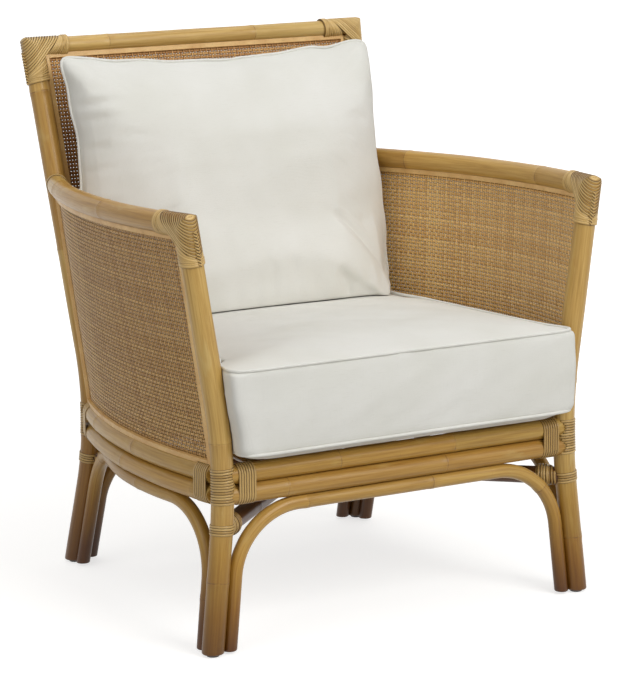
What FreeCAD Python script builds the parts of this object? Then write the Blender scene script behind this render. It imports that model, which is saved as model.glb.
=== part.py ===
import FreeCAD, Part
import math
import os

# A rattan armchair: bent poles joined by copes, mitres and hidden screws, lashed with peel,
# with woven cane sheets in the back and sides and two loose cushions.
# Sizes are in millimetres. The chair faces -Y, left and right are as seen from the front.
# While the parts are made, Y is measured from the waist of the front posts; at the end
# everything moves so that the origin lies on the floor under the middle of the whole chair.

Vector = FreeCAD.Vector
UP = Vector(0, 0, 1)
SIDES = {"left": -1, "right": 1}

# Pole diameters
post_d = 34.0
arm_d = 32.0
top_rail_d = 27.0
seat_rail_d = 30.0
arch_d = 22.0
brace_d = 28.0
slat_d = 13.0

# Front posts: half distances between the two centre lines, heights, lean and bend
front_waist_half = 300.0
front_waist_height = 282.0
front_foot_splay = 30.0
front_foot_lead = 6.0
front_top_flare = 57.0
front_top_lean = 8.0
arm_front_height = 648.0
front_bend_r = 800.0

# Rear posts
seat_depth = 497.0
rear_waist_half = 265.0
rear_waist_height = 258.0
rear_foot_splay = 8.0
rear_foot_kick = 80.0
rear_top_flare = 35.0
back_rake = 137.0
back_height = 850.0
rear_bend_r = 430.0

# Rails
arm_rear_height = 633.0
arm_bow = 43.0
seat_rail_height = 271.0
side_rail_bow = 38.0

# Arches under the seat rails and the crossed braces
arch_bend_r = 110.0
side_arch_bow_r = 560.0
side_arch_bow_reach = 1.25
brace_height = 190.0

# Feet
glide_height = 4.0
glide_d = 20.0
glide_shoulder = 1.0

# Lashings of rattan peel
strand_width = 4.2
strand_depth = 2.0
strand_valley = 1.0
post_wrap_strands = 13
brace_wrap_strands = 4
rail_wrap_strands = 7
strand_gap = 0.7
strand_bevel = 0.8
brace_end_wrap_length = 30.0
corner_wrap_length = 58.0
collar_length = 12.0
corner_cut = 18.5

# Cane sheets and the splines that hold their edges
cane_thickness = 2.0
spline_width = 7.0
spline_depth = 5.0
back_cane_forward = 6.0

# Seat support under the cushion
cleat_width = 22.0
cleat_height = 20.0
cleat_end_room = 3.0
slat_count = 9
slat_end_room = 9.0

# Wood screws, each with its drilled hole
screw_d = 4.0
screw_head_d = 8.0
screw_head_height = 3.0
screw_tip = 6.0
rail_screw_grip = 18.0
corner_screw_length = 62.0
screw_stagger = 4.5
hole_clearance = 0.15

# Seat cushion: box edge with a welt at the top and the bottom seam
seat_half_width = 285.0
seat_rear_taper = 20.0
seat_front_overhang = 50.0
seat_rear_room = 30.0
seat_bottom_seam = 20.0
seat_boxing = 128.0
seat_rear_drop = 14.0
seat_crown = 16.0
seat_corner_r = 34.0
seat_draw = 5.0

# Back cushion: knife edge with one welt
back_half_width = 289.0
back_cushion_height = 422.0
back_rear_depth = 61.0
back_front_depth = 78.0
back_corner_r = 26.0
back_draw = 10.0
back_lift = 6.0

cover_thickness = 1.6
welt_d = 5.0
smallest_corner_r = 9.0

# Crowns of the seat cushion: rise above its foot or share of the crown, how far the
# outline is set in there, and the share of the side's draw that is left
seat_foot_profile = [(0.0, 46.0, 0.2), (5.0, 22.0, 0.5)]
seat_crown_profile = [(0.55, 34.0, 0.5), (0.87, 90.0, 0.2), (1.0, 170.0, 0.2)]
seat_boxing_belly = 1.5

# Crown of the back cushion: share of the depth, how far the outline is set in there, and
# how far it drops at the front, where the filling has sunk
back_profile = [
    (1.0, 128.0, 78.0),
    (0.93, 88.0, 72.0),
    (0.76, 50.0, 51.0),
    (0.46, 19.0, 20.0),
    (0.2, 5.0, 5.0),
]
back_draw_reach = 60.0
least_draw_share = 0.1

# Share of a run that two neighbouring bends may fill, where a drawn-in side is bent, and
# where a closed outline starts on its last side
bend_room = 0.98
side_belly = 0.55
outline_start = 0.7

# Gap left between curved faces that touch, and between a soft piece and its seat
seat_gap = 0.3

# How far a pole is drawn past a joint before it is cut
overrun = 45.0
# Side of the block that stands for everything beyond a cutting plane
block = 1500.0


def unit(vector):
    return Vector(vector).normalize()


def mirrored(side, x, y, z):
    """A point given for the right side, moved to the side asked for."""
    return Vector(SIDES[side] * x, y, z)


def line(start, end):
    return Part.LineSegment(start, end).toShape()


def arc(start, middle, end):
    return Part.Arc(start, middle, end).toShape()


def fitting(points, radii):
    """The radii, each less where its arc would run into the next one or past an end."""
    runs = [(after - before).Length for before, after in zip(points, points[1:])]
    reaches = [0.0]
    for before, corner, after, radius in zip(points, points[1:], points[2:], radii):
        reaches.append(radius * math.tan((corner - before).getAngle(after - corner) / 2))
    reaches.append(0.0)
    shares = [run / (first + second) for run, first, second in zip(runs, reaches, reaches[1:])]
    return [
        radius * min(1.0, bend_room * shares[index], bend_room * shares[index + 1])
        for index, radius in enumerate(radii)
    ]


def bent_line(points, radii):
    """Straight runs through the points, joined at each inner point by a tangent arc."""
    path = []
    start = points[0]
    for index, radius in enumerate(fitting(points, radii)):
        corner = points[index + 1]
        into = unit(corner - points[index])
        out = unit(points[index + 2] - corner)
        half_turn = into.getAngle(out) / 2
        reach = radius * math.tan(half_turn)
        inward = unit(out - into)
        middle = corner + inward * (radius / math.cos(half_turn) - radius)
        arc_start = corner - into * reach
        arc_end = corner + out * reach
        path.append(line(start, arc_start))
        path.append(arc(arc_start, middle, arc_end))
        start = arc_end
    path.append(line(start, points[-1]))
    return path


def arc_along(start, direction, end):
    """An arc from start, where it runs along the direction, to end."""
    chord = end - start
    along = unit(chord)
    aside = unit(direction - along * direction.dot(along))
    rise = chord.Length / 2 * math.tan(direction.getAngle(chord) / 2)
    return arc(start, (start + end) / 2 + aside * rise, end)


def biarc(start, start_way, end, end_way):
    """Two arcs, tangent where they meet, that join two points along the ways given there."""
    span = end - start
    both = start_way + end_way
    spread = 2 * (1 - start_way.dot(end_way))
    slope = span.dot(both)
    square = span.dot(span)
    reach = square / (slope + math.sqrt(slope ** 2 + spread * square))
    middle = (start + end + (start_way - end_way) * reach) / 2
    back = arc_along(end, end_way * -1, middle)
    centre_point = back.valueAt((back.FirstParameter + back.LastParameter) / 2)
    return [arc_along(start, start_way, middle), arc(middle, centre_point, end)]


def bowed_line(start, end, outward, bow):
    """An arc from start to end that bulges by bow along the outward direction."""
    return arc(start, (start + end) / 2 + outward * bow, end)


def at_height(path, height):
    """The point where a rising centre line passes a height, and its direction there."""
    for edge in path:
        low, high = edge.FirstParameter, edge.LastParameter
        if not edge.valueAt(low).z <= height <= edge.valueAt(high).z:
            continue
        for _ in range(50):
            middle = (low + high) / 2
            if edge.valueAt(middle).z < height:
                low = middle
            else:
                high = middle
        return edge.valueAt(low), unit(edge.tangentAt(low))
    raise ValueError("the centre line doesn't reach this height")


def swept(path, section):
    """A section carried along straight and circular edges: flat ends, or a closed ring."""
    begin = path[0].valueAt(path[0].FirstParameter)
    end = path[-1].valueAt(path[-1].LastParameter)
    sides = len(section.Edges)
    moved = section
    skin = []
    for edge in path:
        curve = edge.Curve
        if isinstance(curve, Part.Line):
            step = unit(edge.tangentAt(edge.FirstParameter)) * edge.Length
            run = moved.OuterWire.extrude(step)
            moved = moved.translated(step)
        else:
            turn = math.degrees(edge.Length / curve.Radius)
            run = moved.OuterWire.revolve(curve.Center, curve.Axis, turn)
            moved = moved.rotated(curve.Center, curve.Axis, turn)
        assert len(run.Faces) == sides
        skin += run.Faces
    if (end - begin).Length > section.BoundBox.DiagonalLength:
        skin += [section, moved]
    shell = Part.Shell(skin)
    shell.sewShape()
    solid = Part.Solid(shell)
    return solid if solid.Volume > 0 else solid.reversed()


def pole(path, diameter):
    """A round pole along a path."""
    begin = path[0].valueAt(path[0].FirstParameter)
    along = path[0].tangentAt(path[0].FirstParameter)
    return swept(path, Part.Face(Part.Wire(Part.makeCircle(diameter / 2, begin, along))))


reaches_made = {}


def reach_of(path, diameter):
    """A pole along a path, made once for each diameter and kept for the cuts that share it."""
    key = (id(path), diameter)
    if key not in reaches_made:
        reaches_made[key] = pole(path, diameter)
    return reaches_made[key]


def room_for(path, diameter):
    """The space a pole takes, with the gap that its neighbours keep from it."""
    return reach_of(path, diameter + 2 * seat_gap)


def beyond(point, normal):
    """A block that fills the side of a plane to which the normal points."""
    cutter = Part.makeBox(block, block, block, Vector(-block / 2, -block / 2, 0))
    cutter.Placement = FreeCAD.Placement(point, FreeCAD.Rotation(UP, normal))
    return cutter


def cut_by(solid, cutters):
    """The solid less every cutter, keeping only its largest piece."""
    rest = solid.cut(cutters) if cutters else solid
    return max(rest.Solids, key=lambda piece: piece.Volume)


def turned(profile, start, direction):
    """A solid of revolution: (distance along, radius) points, closed on the axis."""
    points = [Vector(radius, 0, along) for along, radius in profile]
    face = Part.Face(Part.makePolygon(points + points[:1]))
    solid = face.revolve(Vector(0, 0, 0), UP, 360)
    solid.Placement = FreeCAD.Placement(start, FreeCAD.Rotation(UP, direction))
    return solid


def screw(head_point, direction, length):
    """A countersunk wood screw."""
    profile = [
        (0, 0),
        (0, screw_head_d / 2),
        (screw_head_height, screw_d / 2),
        (length - screw_tip, screw_d / 2),
        (length, 0),
    ]
    return turned(profile, head_point, direction)


def screw_hole(head_point, direction, length):
    """The hole that is drilled for a screw, countersunk from the surface of the pole."""
    head_r = screw_head_d / 2 + hole_clearance
    shank_r = screw_d / 2 + hole_clearance
    profile = [
        (-post_d / 2, 0),
        (-post_d / 2, head_r),
        (0, head_r),
        (screw_head_height, shank_r),
        (length - screw_tip, shank_r),
        (length + hole_clearance, 0),
    ]
    return turned(profile, head_point, direction)


def centred_ring(start, end, inner_r, strands):
    """A wrapped sleeve from start to end with one ridge for each strand of peel."""
    span = end - start
    pitch = span.Length / strands
    crest = inner_r + strand_depth
    valley = inner_r + strand_valley
    profile = [(0, inner_r - strand_depth)]
    for index in range(strands):
        profile.append((index * pitch, valley))
        profile.append(((index + 0.5) * pitch, crest))
    profile.append((span.Length, valley))
    profile.append((span.Length, inner_r - strand_depth))
    return turned(profile, start, span)


def plain_sleeve(start, end, outer_r):
    """A full round sleeve blank with a small chamfer at each end."""
    span = end - start
    chamfer = strand_depth / 2
    profile = [
        (0, 0),
        (0, outer_r - chamfer),
        (chamfer, outer_r),
        (span.Length - chamfer, outer_r),
        (span.Length, outer_r - chamfer),
        (span.Length, 0),
    ]
    return turned(profile, start, span)


# Centre lines of the posts

def front_points(side):
    foot = mirrored(side, front_waist_half + front_foot_splay, -front_foot_lead, 0)
    waist = mirrored(side, front_waist_half, 0, front_waist_height)
    top = mirrored(side, front_waist_half + front_top_flare, front_top_lean, arm_front_height)
    return foot, waist, top


def rear_points(side):
    foot = mirrored(side, rear_waist_half + rear_foot_splay, seat_depth + rear_foot_kick, 0)
    waist = mirrored(side, rear_waist_half, seat_depth, rear_waist_height)
    top = mirrored(side, rear_waist_half + rear_top_flare, seat_depth + back_rake, back_height)
    return foot, waist, top


def post_line(points, radius):
    """The centre line of a post, carried past its top so that the mitre can be cut."""
    foot, waist, top = points
    return bent_line([foot, waist, top + unit(top - waist) * overrun], [radius])


front_line = {side: post_line(front_points(side), front_bend_r) for side in SIDES}
rear_line = {side: post_line(rear_points(side), rear_bend_r) for side in SIDES}
front_room = {side: room_for(front_line[side], post_d) for side in SIDES}
rear_room = {side: room_for(rear_line[side], post_d) for side in SIDES}

# Heights that stack up from the seat rails
rail_heights = {
    "upper": seat_rail_height,
    "lower": seat_rail_height - seat_rail_d - seat_gap,
}
rail_top = seat_rail_height + seat_rail_d / 2
arch_height = rail_heights["lower"] - (seat_rail_d + arch_d) / 2 - seat_gap
leg_distance = (post_d + arch_d) / 2 + seat_gap


# Arm rails and the corners where they meet the front posts

def outward(side):
    return Vector(SIDES[side], 0, 0)


def arm_ends(side):
    front = front_points(side)[2]
    rear, _ = at_height(rear_line[side], arm_rear_height)
    return front, rear


def arm_arc(side):
    front, rear = arm_ends(side)
    return bowed_line(front, rear, outward(side), arm_bow)


def arm_line(side):
    bowed = arm_arc(side)
    front = bowed.valueAt(bowed.FirstParameter)
    along = unit(bowed.tangentAt(bowed.FirstParameter))
    return [line(front - along * overrun, front), bowed]


class Corner:
    """A mitred corner: where it is, the way into it, the way out, and its cutting planes."""

    def __init__(self, point, into, out):
        self.point = point
        self.into = unit(into)
        self.out = unit(out)
        self.mitre = unit(self.into + self.out)
        self.diagonal = unit(self.into - self.out)

    def past_mitre(self):
        return beyond(self.point, self.mitre)

    def before_mitre(self):
        return beyond(self.point, self.mitre * -1)

    def sawn_off(self, extra=0.0):
        """What is sawn off the point of the corner."""
        return beyond(self.point + self.diagonal * (corner_cut + extra), self.diagonal)


def arm_corner(side):
    _, waist, top = front_points(side)
    bowed = arm_arc(side)
    return Corner(top, top - waist, bowed.tangentAt(bowed.FirstParameter))


def back_corner(side):
    _, waist, top = rear_points(side)
    return Corner(top, top - waist, outward(side) * -1)


arm_corners = {side: arm_corner(side) for side in SIDES}
back_corners = {side: back_corner(side) for side in SIDES}
arm_lines = {side: arm_line(side) for side in SIDES}
arm_room = {side: room_for(arm_lines[side], arm_d) for side in SIDES}
top_rail_line = [
    line(
        back_corners["left"].point - Vector(overrun, 0, 0),
        back_corners["right"].point + Vector(overrun, 0, 0),
    )
]


# Seat rails

def cross_rail_line(lines, height):
    """Straight rail between the two front or the two rear posts."""
    return [line(at_height(lines["left"], height)[0], at_height(lines["right"], height)[0])]


def side_rail_arc(side, height):
    front, _ = at_height(front_line[side], height)
    rear, _ = at_height(rear_line[side], height)
    return bowed_line(front, rear, outward(side), side_rail_bow)


front_rails = {level: cross_rail_line(front_line, z) for level, z in rail_heights.items()}
rear_rails = {level: cross_rail_line(rear_line, z) for level, z in rail_heights.items()}
side_rails = {
    (side, level): [side_rail_arc(side, z)]
    for side in SIDES
    for level, z in rail_heights.items()
}


# Screws, hidden under the lashings

def screw_places():
    """Each screw as the point of its head, its direction and its length."""
    places = []
    sink = post_d / 2 - hole_clearance
    for side in SIDES:
        inward = outward(side) * -1
        for level, height in rail_heights.items():
            for lines, end in ((front_line, "front"), (rear_line, "rear")):
                centre, _ = at_height(lines[side], height)
                raised = centre + UP * screw_stagger
                lowered = centre - UP * screw_stagger
                places.append((raised - inward * sink, inward, post_d + rail_screw_grip))
                rail = side_rails[side, level][0]
                if end == "front":
                    along = unit(rail.tangentAt(rail.FirstParameter))
                else:
                    along = unit(rail.tangentAt(rail.LastParameter)) * -1
                places.append((lowered - along * sink, along, post_d + rail_screw_grip))
        bowed = arm_lines[side][1]
        along = unit(bowed.tangentAt(bowed.LastParameter)) * -1
        rear = bowed.valueAt(bowed.LastParameter)
        places.append((rear - along * sink, along, post_d + rail_screw_grip))
        corner = arm_corners[side]
        head = corner.point + corner.into * (corner_cut / 2)
        places.append((head, corner.into * -1, corner_screw_length))
        corner = back_corners[side]
        head = corner.point - corner.out * (corner_cut / 2)
        places.append((head, corner.out, corner_screw_length))
    return places


screw_list = screw_places()
screw_holes = [screw_hole(*place) for place in screw_list]


def near(solid, cutters):
    """The cutters whose boxes reach the solid."""
    return [cutter for cutter in cutters if cutter.BoundBox.intersect(solid.BoundBox)]


def drilled(solid):
    return cut_by(solid, near(solid, screw_holes))


# The poles of the frame

def make_front_post(side):
    corner = arm_corners[side]
    solid = pole(front_line[side], post_d)
    floor_cut = beyond(Vector(0, 0, glide_height), Vector(0, 0, -1))
    return drilled(cut_by(solid, [floor_cut, corner.past_mitre(), corner.sawn_off()]))


def make_rear_post(side):
    corner = back_corners[side]
    solid = pole(rear_line[side], post_d)
    floor_cut = beyond(Vector(0, 0, glide_height), Vector(0, 0, -1))
    return drilled(cut_by(solid, [floor_cut, corner.past_mitre(), corner.sawn_off()]))


def make_arm_rail(side):
    corner = arm_corners[side]
    solid = pole(arm_lines[side], arm_d)
    return drilled(cut_by(solid, [corner.before_mitre(), corner.sawn_off(), rear_room[side]]))


def make_top_rail():
    solid = pole(top_rail_line, top_rail_d)
    cutters = []
    for side in SIDES:
        cutters += [back_corners[side].before_mitre(), back_corners[side].sawn_off()]
    return drilled(cut_by(solid, cutters))


def make_cross_rail(rail, rooms):
    return drilled(cut_by(pole(rail, seat_rail_d), list(rooms.values())))


def make_side_rail(side, level):
    cutters = [front_room[side], rear_room[side]]
    cutters.append(room_for(front_rails[level], seat_rail_d))
    cutters.append(room_for(rear_rails[level], seat_rail_d))
    return drilled(cut_by(pole(side_rails[side, level], seat_rail_d), cutters))


# Arches: bent poles that stand beside the posts and run under the lower rails

def lower_post(points):
    """Foot and direction of the straight part of a post below its bend."""
    foot, waist, _ = points
    return foot, unit(waist - foot)


def leg_point(points, side_on, height):
    """A point of the leg that stands against a post, on the level side asked for."""
    foot, along = lower_post(points)
    apart = leg_distance / math.sin(side_on.getAngle(along))
    return foot + side_on * apart + along * (height / along.z)


def cross_arch_line(points_of):
    """Arch between the two front or the two rear posts, its legs on their inner sides."""
    path = []
    for side in ("left", "right"):
        inward = outward(side) * -1
        ends = [leg_point(points_of(side), inward, height) for height in (0, arch_height)]
        path += ends if side == "left" else ends[::-1]
    return bent_line(path, [arch_bend_r, arch_bend_r])


def side_arch_line(side):
    """Arch between a front and a rear post, bowed outward under the side rail."""
    behind = Vector(0, 1, 0)
    before = Vector(0, -1, 0)
    front = [leg_point(front_points(side), behind, height) for height in (0, arch_height)]
    rear = [leg_point(rear_points(side), before, height) for height in (arch_height, 0)]
    rail = side_rails[side, "lower"][0]
    bulge = rail.valueAt((rail.FirstParameter + rail.LastParameter) / 2)
    chord = (front[1] + rear[0]) / 2
    crown = chord + outward(side) * (abs(bulge.x) - abs(chord.x)) * side_arch_bow_reach
    crown.z = arch_height
    return bent_line(front + [crown] + rear, [arch_bend_r, side_arch_bow_r, arch_bend_r])


front_arch_line = cross_arch_line(front_points)
rear_arch_line = cross_arch_line(rear_points)
side_arch_lines = {side: side_arch_line(side) for side in SIDES}


def make_arch(path):
    floor_cut = beyond(Vector(0, 0, glide_height), Vector(0, 0, -1))
    return cut_by(pole(path, arch_d), [floor_cut])


# Crossed braces: one whole pole, and two halves that butt against it

def brace_ends(front_side, rear_side):
    front, _ = at_height(front_line[front_side], brace_height)
    rear, _ = at_height(rear_line[rear_side], brace_height)
    return front, rear


long_brace_line = [line(*brace_ends("left", "right"))]
short_front, short_rear = brace_ends("right", "left")
long_front, long_rear = brace_ends("left", "right")


def crossing_point():
    """Where the two braces cross, seen from above."""
    a, b = long_front, long_rear - long_front
    c, d = short_front, short_rear - short_front
    share = ((c.x - a.x) * d.y - (c.y - a.y) * d.x) / (b.x * d.y - b.y * d.x)
    return a + b * share


crossing = crossing_point()
short_brace_lines = {
    "front": [line(short_front, crossing)],
    "rear": [line(short_rear, crossing)],
}


def make_long_brace():
    solid = pole(long_brace_line, brace_d)
    return cut_by(solid, [front_room["left"], rear_room["right"]])


def make_short_brace(end):
    solid = pole(short_brace_lines[end], brace_d)
    post = front_room["right"] if end == "front" else rear_room["left"]
    return cut_by(solid, [post, room_for(long_brace_line, brace_d)])


# Lashings

def seat_wrap(lines, side):
    """The wide lashing on a post at the height of the seat rails, open where the rails end."""
    half = post_wrap_strands * strand_width / 2
    middle = (rail_heights["upper"] + rail_heights["lower"]) / 2
    low, _ = at_height(lines[side], middle - half)
    high, _ = at_height(lines[side], middle + half)
    sleeve = centred_ring(low, high, post_d / 2, post_wrap_strands)
    rails = front_rails if lines is front_line else rear_rails
    cutters = [room_for(rails[level], seat_rail_d) for level in rail_heights]
    cutters += [room_for(side_rails[side, level], seat_rail_d) for level in rail_heights]
    rooms = front_room if lines is front_line else rear_room
    return cut_by(sleeve, [rooms[side]] + cutters)


def brace_wrap(lines, side):
    """The narrow lashing that ties a brace to its post."""
    half = brace_wrap_strands * strand_width / 2
    low, _ = at_height(lines[side], brace_height - half)
    high, _ = at_height(lines[side], brace_height + half)
    sleeve = centred_ring(low, high, post_d / 2, brace_wrap_strands)
    rooms = front_room if lines is front_line else rear_room
    cutters = [rooms[side]]
    if (lines is front_line) == (side == "left"):
        cutters.append(room_for(long_brace_line, brace_d))
    else:
        end = "front" if lines is front_line else "rear"
        cutters.append(room_for(short_brace_lines[end], brace_d))
    arch = front_arch_line if lines is front_line else rear_arch_line
    cutters.append(room_for(arch, arch_d))
    cutters.append(room_for(side_arch_lines[side], arch_d))
    return cut_by(sleeve, cutters)


rail_wrap_length = rail_wrap_strands * strand_width - strand_gap


def stacked_blank(low, high, along, extra=0.0):
    """A solid bar round two stacked rails, on from the points where their middles start."""
    radius = seat_rail_d / 2 + strand_depth + extra
    upward = unit(high - low)
    across = unit(along.cross(upward))
    low = low - along * extra
    high = high - along * extra
    edges = [
        line(low + across * radius, high + across * radius),
        arc(high + across * radius, high + upward * radius, high - across * radius),
        line(high - across * radius, low - across * radius),
        arc(low - across * radius, low - upward * radius, low + across * radius),
    ]
    return Part.Face(Part.Wire(edges)).extrude(along * (rail_wrap_length + 2 * extra))


def wrap_station(side, lines, rails, end, distance):
    """The middles of the lower and upper rail, so far from their post, and the way on."""
    away = post_d / 2 + strand_depth + seat_gap + distance
    if rails in (front_rails, rear_rails):
        middle = (rail_heights["upper"] + rail_heights["lower"]) / 2
        centre, _ = at_height(lines[side], middle)
        inward = outward(side) * -1
        pair = [rails[level][0].valueAt(0) for level in ("lower", "upper")]
        low, high = (Vector(centre.x + inward.x * away, point.y, point.z) for point in pair)
        return low, high, inward
    points = []
    ways = []
    for curve in (rails[side, level][0] for level in ("lower", "upper")):
        turn = away / curve.Curve.Radius
        parameter = curve.FirstParameter + turn if end == "front" else curve.LastParameter - turn
        points.append(curve.valueAt(parameter))
        ways.append(curve.tangentAt(parameter))
    along = unit(ways[0] + ways[1])
    return points[0], points[1], along if end == "front" else along * -1


def wound_path(station):
    """The middle line of one strand wound round two stacked rails, loop beside loop.

    Each loop runs square to the rails, and moves on to the next on their inner side.
    """
    radius = seat_rail_d / 2 + seat_gap
    start = (strand_width - strand_gap) / 2
    path = []
    for turn in range(rail_wrap_strands):
        low, high, along = station(start + turn * strand_width)
        upward = unit(high - low)
        aside = unit(along.cross(upward)) * radius
        if turn == 0:
            path.append(line(low - aside + upward * strand_width, low - aside))
        else:
            path += biarc(loop_end, loop_way, low - aside, upward * -1)
        path.append(arc(low - aside, low - upward * radius, low + aside))
        path.append(line(low + aside, high + aside))
        path.append(arc(high + aside, high + upward * radius, high - aside))
        loop_end, loop_way = high - aside, upward * -1
    path.append(line(loop_end, loop_end + loop_way * strand_width))
    return path


def strand_section(path, outer_way):
    """The section of flat peel at the start of its path, its back towards the pole."""
    start = path[0].valueAt(path[0].FirstParameter)
    across = unit(path[0].tangentAt(path[0].FirstParameter).cross(outer_way))
    half = (strand_width - strand_gap) / 2
    thickness = strand_depth - seat_gap
    corners = [
        (-half, 0),
        (half, 0),
        (half, thickness - strand_bevel),
        (half - strand_bevel, thickness),
        (strand_bevel - half, thickness),
        (-half, thickness - strand_bevel),
    ]
    points = [start + across * aside + outer_way * away for aside, away in corners]
    return Part.Face(Part.makePolygon(points + points[:1]))


def least_gap(path):
    """The least gap between one loop of a strand and the others, measured on points."""
    points = []
    distance = 0
    for edge in path:
        count = max(2, round(edge.Length / strand_width))
        step = (edge.LastParameter - edge.FirstParameter) / count
        for index in range(count):
            point = edge.valueAt(edge.FirstParameter + step * index)
            points.append((distance + edge.Length * index / count, point))
        distance += edge.Length
    loop = distance / rail_wrap_strands
    apart = [
        (second - first).Length
        for number, (here, first) in enumerate(points)
        for there, second in points[number:]
        if loop / 2 < there - here < loop * 3 / 2
    ]
    return min(apart) - (strand_width - strand_gap)


def rail_wraps(rails, lines, end):
    """The two lashings, left and right, at one end of the stacked rails: wound strands."""
    wraps = []
    for side in SIDES:
        path = wound_path(lambda distance: wrap_station(side, lines, rails, end, distance))
        low, high, along = wrap_station(side, lines, rails, end, 0)
        inner_way = unit(along.cross(high - low)) * -1
        wraps.append(swept(path, strand_section(path, inner_way)))
        print(f"lashing of {rail_wrap_strands} loops, least gap {least_gap(path):.2f} mm")
    return wraps


def rail_wrap_room(side, rails, lines, end):
    """The space that such a lashing takes."""
    return stacked_blank(*wrap_station(side, lines, rails, end, 0), seat_gap)


def brace_end_wraps():
    """Lashings round the braces next to the posts and next to the crossing."""
    outer = brace_d / 2 + strand_depth
    wraps = []
    for path in [long_brace_line] + list(short_brace_lines.values()):
        start = path[0].valueAt(path[0].FirstParameter)
        end = path[0].valueAt(path[0].LastParameter)
        along = unit(end - start)
        room = post_d / 2 + strand_depth + seat_gap
        ends = [(start, along)]
        if path is long_brace_line:
            ends.append((end, along * -1))
        for point, inward in ends:
            near_end = point + inward * room
            far_end = near_end + inward * brace_end_wrap_length
            sleeve = plain_sleeve(near_end, far_end, outer)
            cutters = [room_for(path, brace_d)]
            for arch in [front_arch_line, rear_arch_line] + list(side_arch_lines.values()):
                cutters.append(room_for(arch, arch_d))
            wraps.append(cut_by(sleeve, near(sleeve, cutters)))
    return wraps


def crossing_wraps():
    outer = brace_d / 2 + strand_depth
    wraps = []
    for path in short_brace_lines.values():
        start = path[0].valueAt(path[0].FirstParameter)
        away = unit(start - crossing)
        near_end = crossing + away * (brace_d / 2)
        sleeve = plain_sleeve(near_end, near_end + away * brace_end_wrap_length, outer)
        cutters = [room_for(path, brace_d), room_for(long_brace_line, brace_d)]
        wraps.append(cut_by(sleeve, cutters))
    return wraps


def corner_blank(corner, second_d, extra=0.0):
    """A solid elbow over a mitred corner: two round bars that meet in the mitre."""
    reach = corner_wrap_length + extra
    first_r = post_d / 2 + strand_depth + extra
    second_r = second_d / 2 + strand_depth + extra
    low = corner.point - corner.into * reach
    first = plain_sleeve(low, corner.point + corner.into * overrun, first_r)
    first = cut_by(first, [corner.past_mitre()])
    high = corner.point + corner.out * reach
    second = plain_sleeve(high, corner.point - corner.out * overrun, second_r)
    second = cut_by(second, [corner.before_mitre()])
    return first.fuse([second]).cut([corner.sawn_off(strand_depth + extra)])


def make_arm_corner_wrap(side):
    corner = arm_corners[side]
    shell = room_for(arm_lines[side], arm_d).cut([corner.before_mitre()])
    post = front_room[side].cut([corner.past_mitre()])
    inside = shell.fuse([post]).cut([corner.sawn_off(seat_gap)])
    return cut_by(corner_blank(corner, arm_d), [inside])


def make_back_corner_wrap(side):
    corner = back_corners[side]
    shell = room_for(top_rail_line, top_rail_d).cut([corner.before_mitre()])
    post = rear_room[side].cut([corner.past_mitre()])
    inside = shell.fuse([post]).cut([corner.sawn_off(seat_gap)])
    return cut_by(corner_blank(corner, top_rail_d), [inside])


def collar_blank(side, extra=0.0):
    """A round bar where an arm rail meets its rear post."""
    bowed = arm_lines[side][1]
    turn = (post_d / 2 + seat_gap) / bowed.Curve.Radius
    parameter = bowed.LastParameter - turn
    start = bowed.valueAt(parameter)
    along = unit(bowed.tangentAt(parameter)) * -1
    end = start + along * (collar_length + extra)
    return plain_sleeve(start, end, arm_d / 2 + strand_depth + extra)


def make_arm_collar(side):
    """The band of peel round the rear end of an arm rail."""
    return cut_by(collar_blank(side), [arm_room[side], rear_room[side]])


# Cane sheets and their splines

class Sheet:
    """A sheet of cane between poles: any layer of it, front to back, cut to fit the poles."""

    def __init__(self, layer, poles, lashings):
        self.layer = layer
        self.poles = poles
        self.lashings = lashings

    def cane(self):
        half = cane_thickness / 2
        blank = self.layer(-half, half)
        rooms = [room_for(path, diameter) for path, diameter in self.poles]
        return cut_by(blank, rooms + self.lashings)

    def splines(self, face):
        """Four strips on one face (1 or -1), each along one pole."""
        near_side = cane_thickness / 2 + seat_gap / 3
        far_side = near_side + spline_depth
        low, high = sorted((face * near_side, face * far_side))
        blank = self.layer(low, high)
        strips = []
        for index, (path, diameter) in enumerate(self.poles):
            strip = blank.common(reach_of(path, diameter + 2 * (seat_gap + spline_width)))
            cutters = [room_for(other, size) for other, size in self.poles]
            for other, size in self.poles[:index]:
                cutters.append(reach_of(other, size + 2 * (2 * seat_gap + spline_width)))
            strips.append(cut_by(strip, cutters + self.lashings))
        return strips


def scaled_arc(curve_edge, offset):
    """A circular edge moved outward from its own centre by an offset."""
    curve = curve_edge.Curve
    share = 1 + offset / curve.Radius
    low, high = curve_edge.FirstParameter, curve_edge.LastParameter
    return [
        curve.Center + (curve_edge.valueAt(parameter) - curve.Center) * share
        for parameter in (low, (low + high) / 2, high)
    ]


def side_sheet(side):
    """The bowed sheet between an arm rail and its side rail, ruled from one to the other."""
    top_edge = arm_lines[side][1]
    bottom_edge = side_rails[side, "upper"][0]

    def layer(low, high):
        wires = []
        for edge in (bottom_edge, top_edge):
            inner = scaled_arc(edge, low)
            outer = scaled_arc(edge, high)
            wires.append(Part.Wire([
                arc(*outer),
                line(outer[2], inner[2]),
                arc(*inner[::-1]),
                line(inner[0], outer[0]),
            ]))
        return Part.makeLoft(wires, True, True)

    poles = [
        (front_line[side], post_d),
        (rear_line[side], post_d),
        (arm_lines[side], arm_d),
        (side_rails[side, "upper"], seat_rail_d),
    ]
    lashings = [
        corner_blank(arm_corners[side], arm_d, seat_gap),
        collar_blank(side, seat_gap),
        rail_wrap_room(side, side_rails, front_line, "front"),
        rail_wrap_room(side, side_rails, rear_line, "rear"),
    ]
    return Sheet(layer, poles, lashings)


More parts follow.
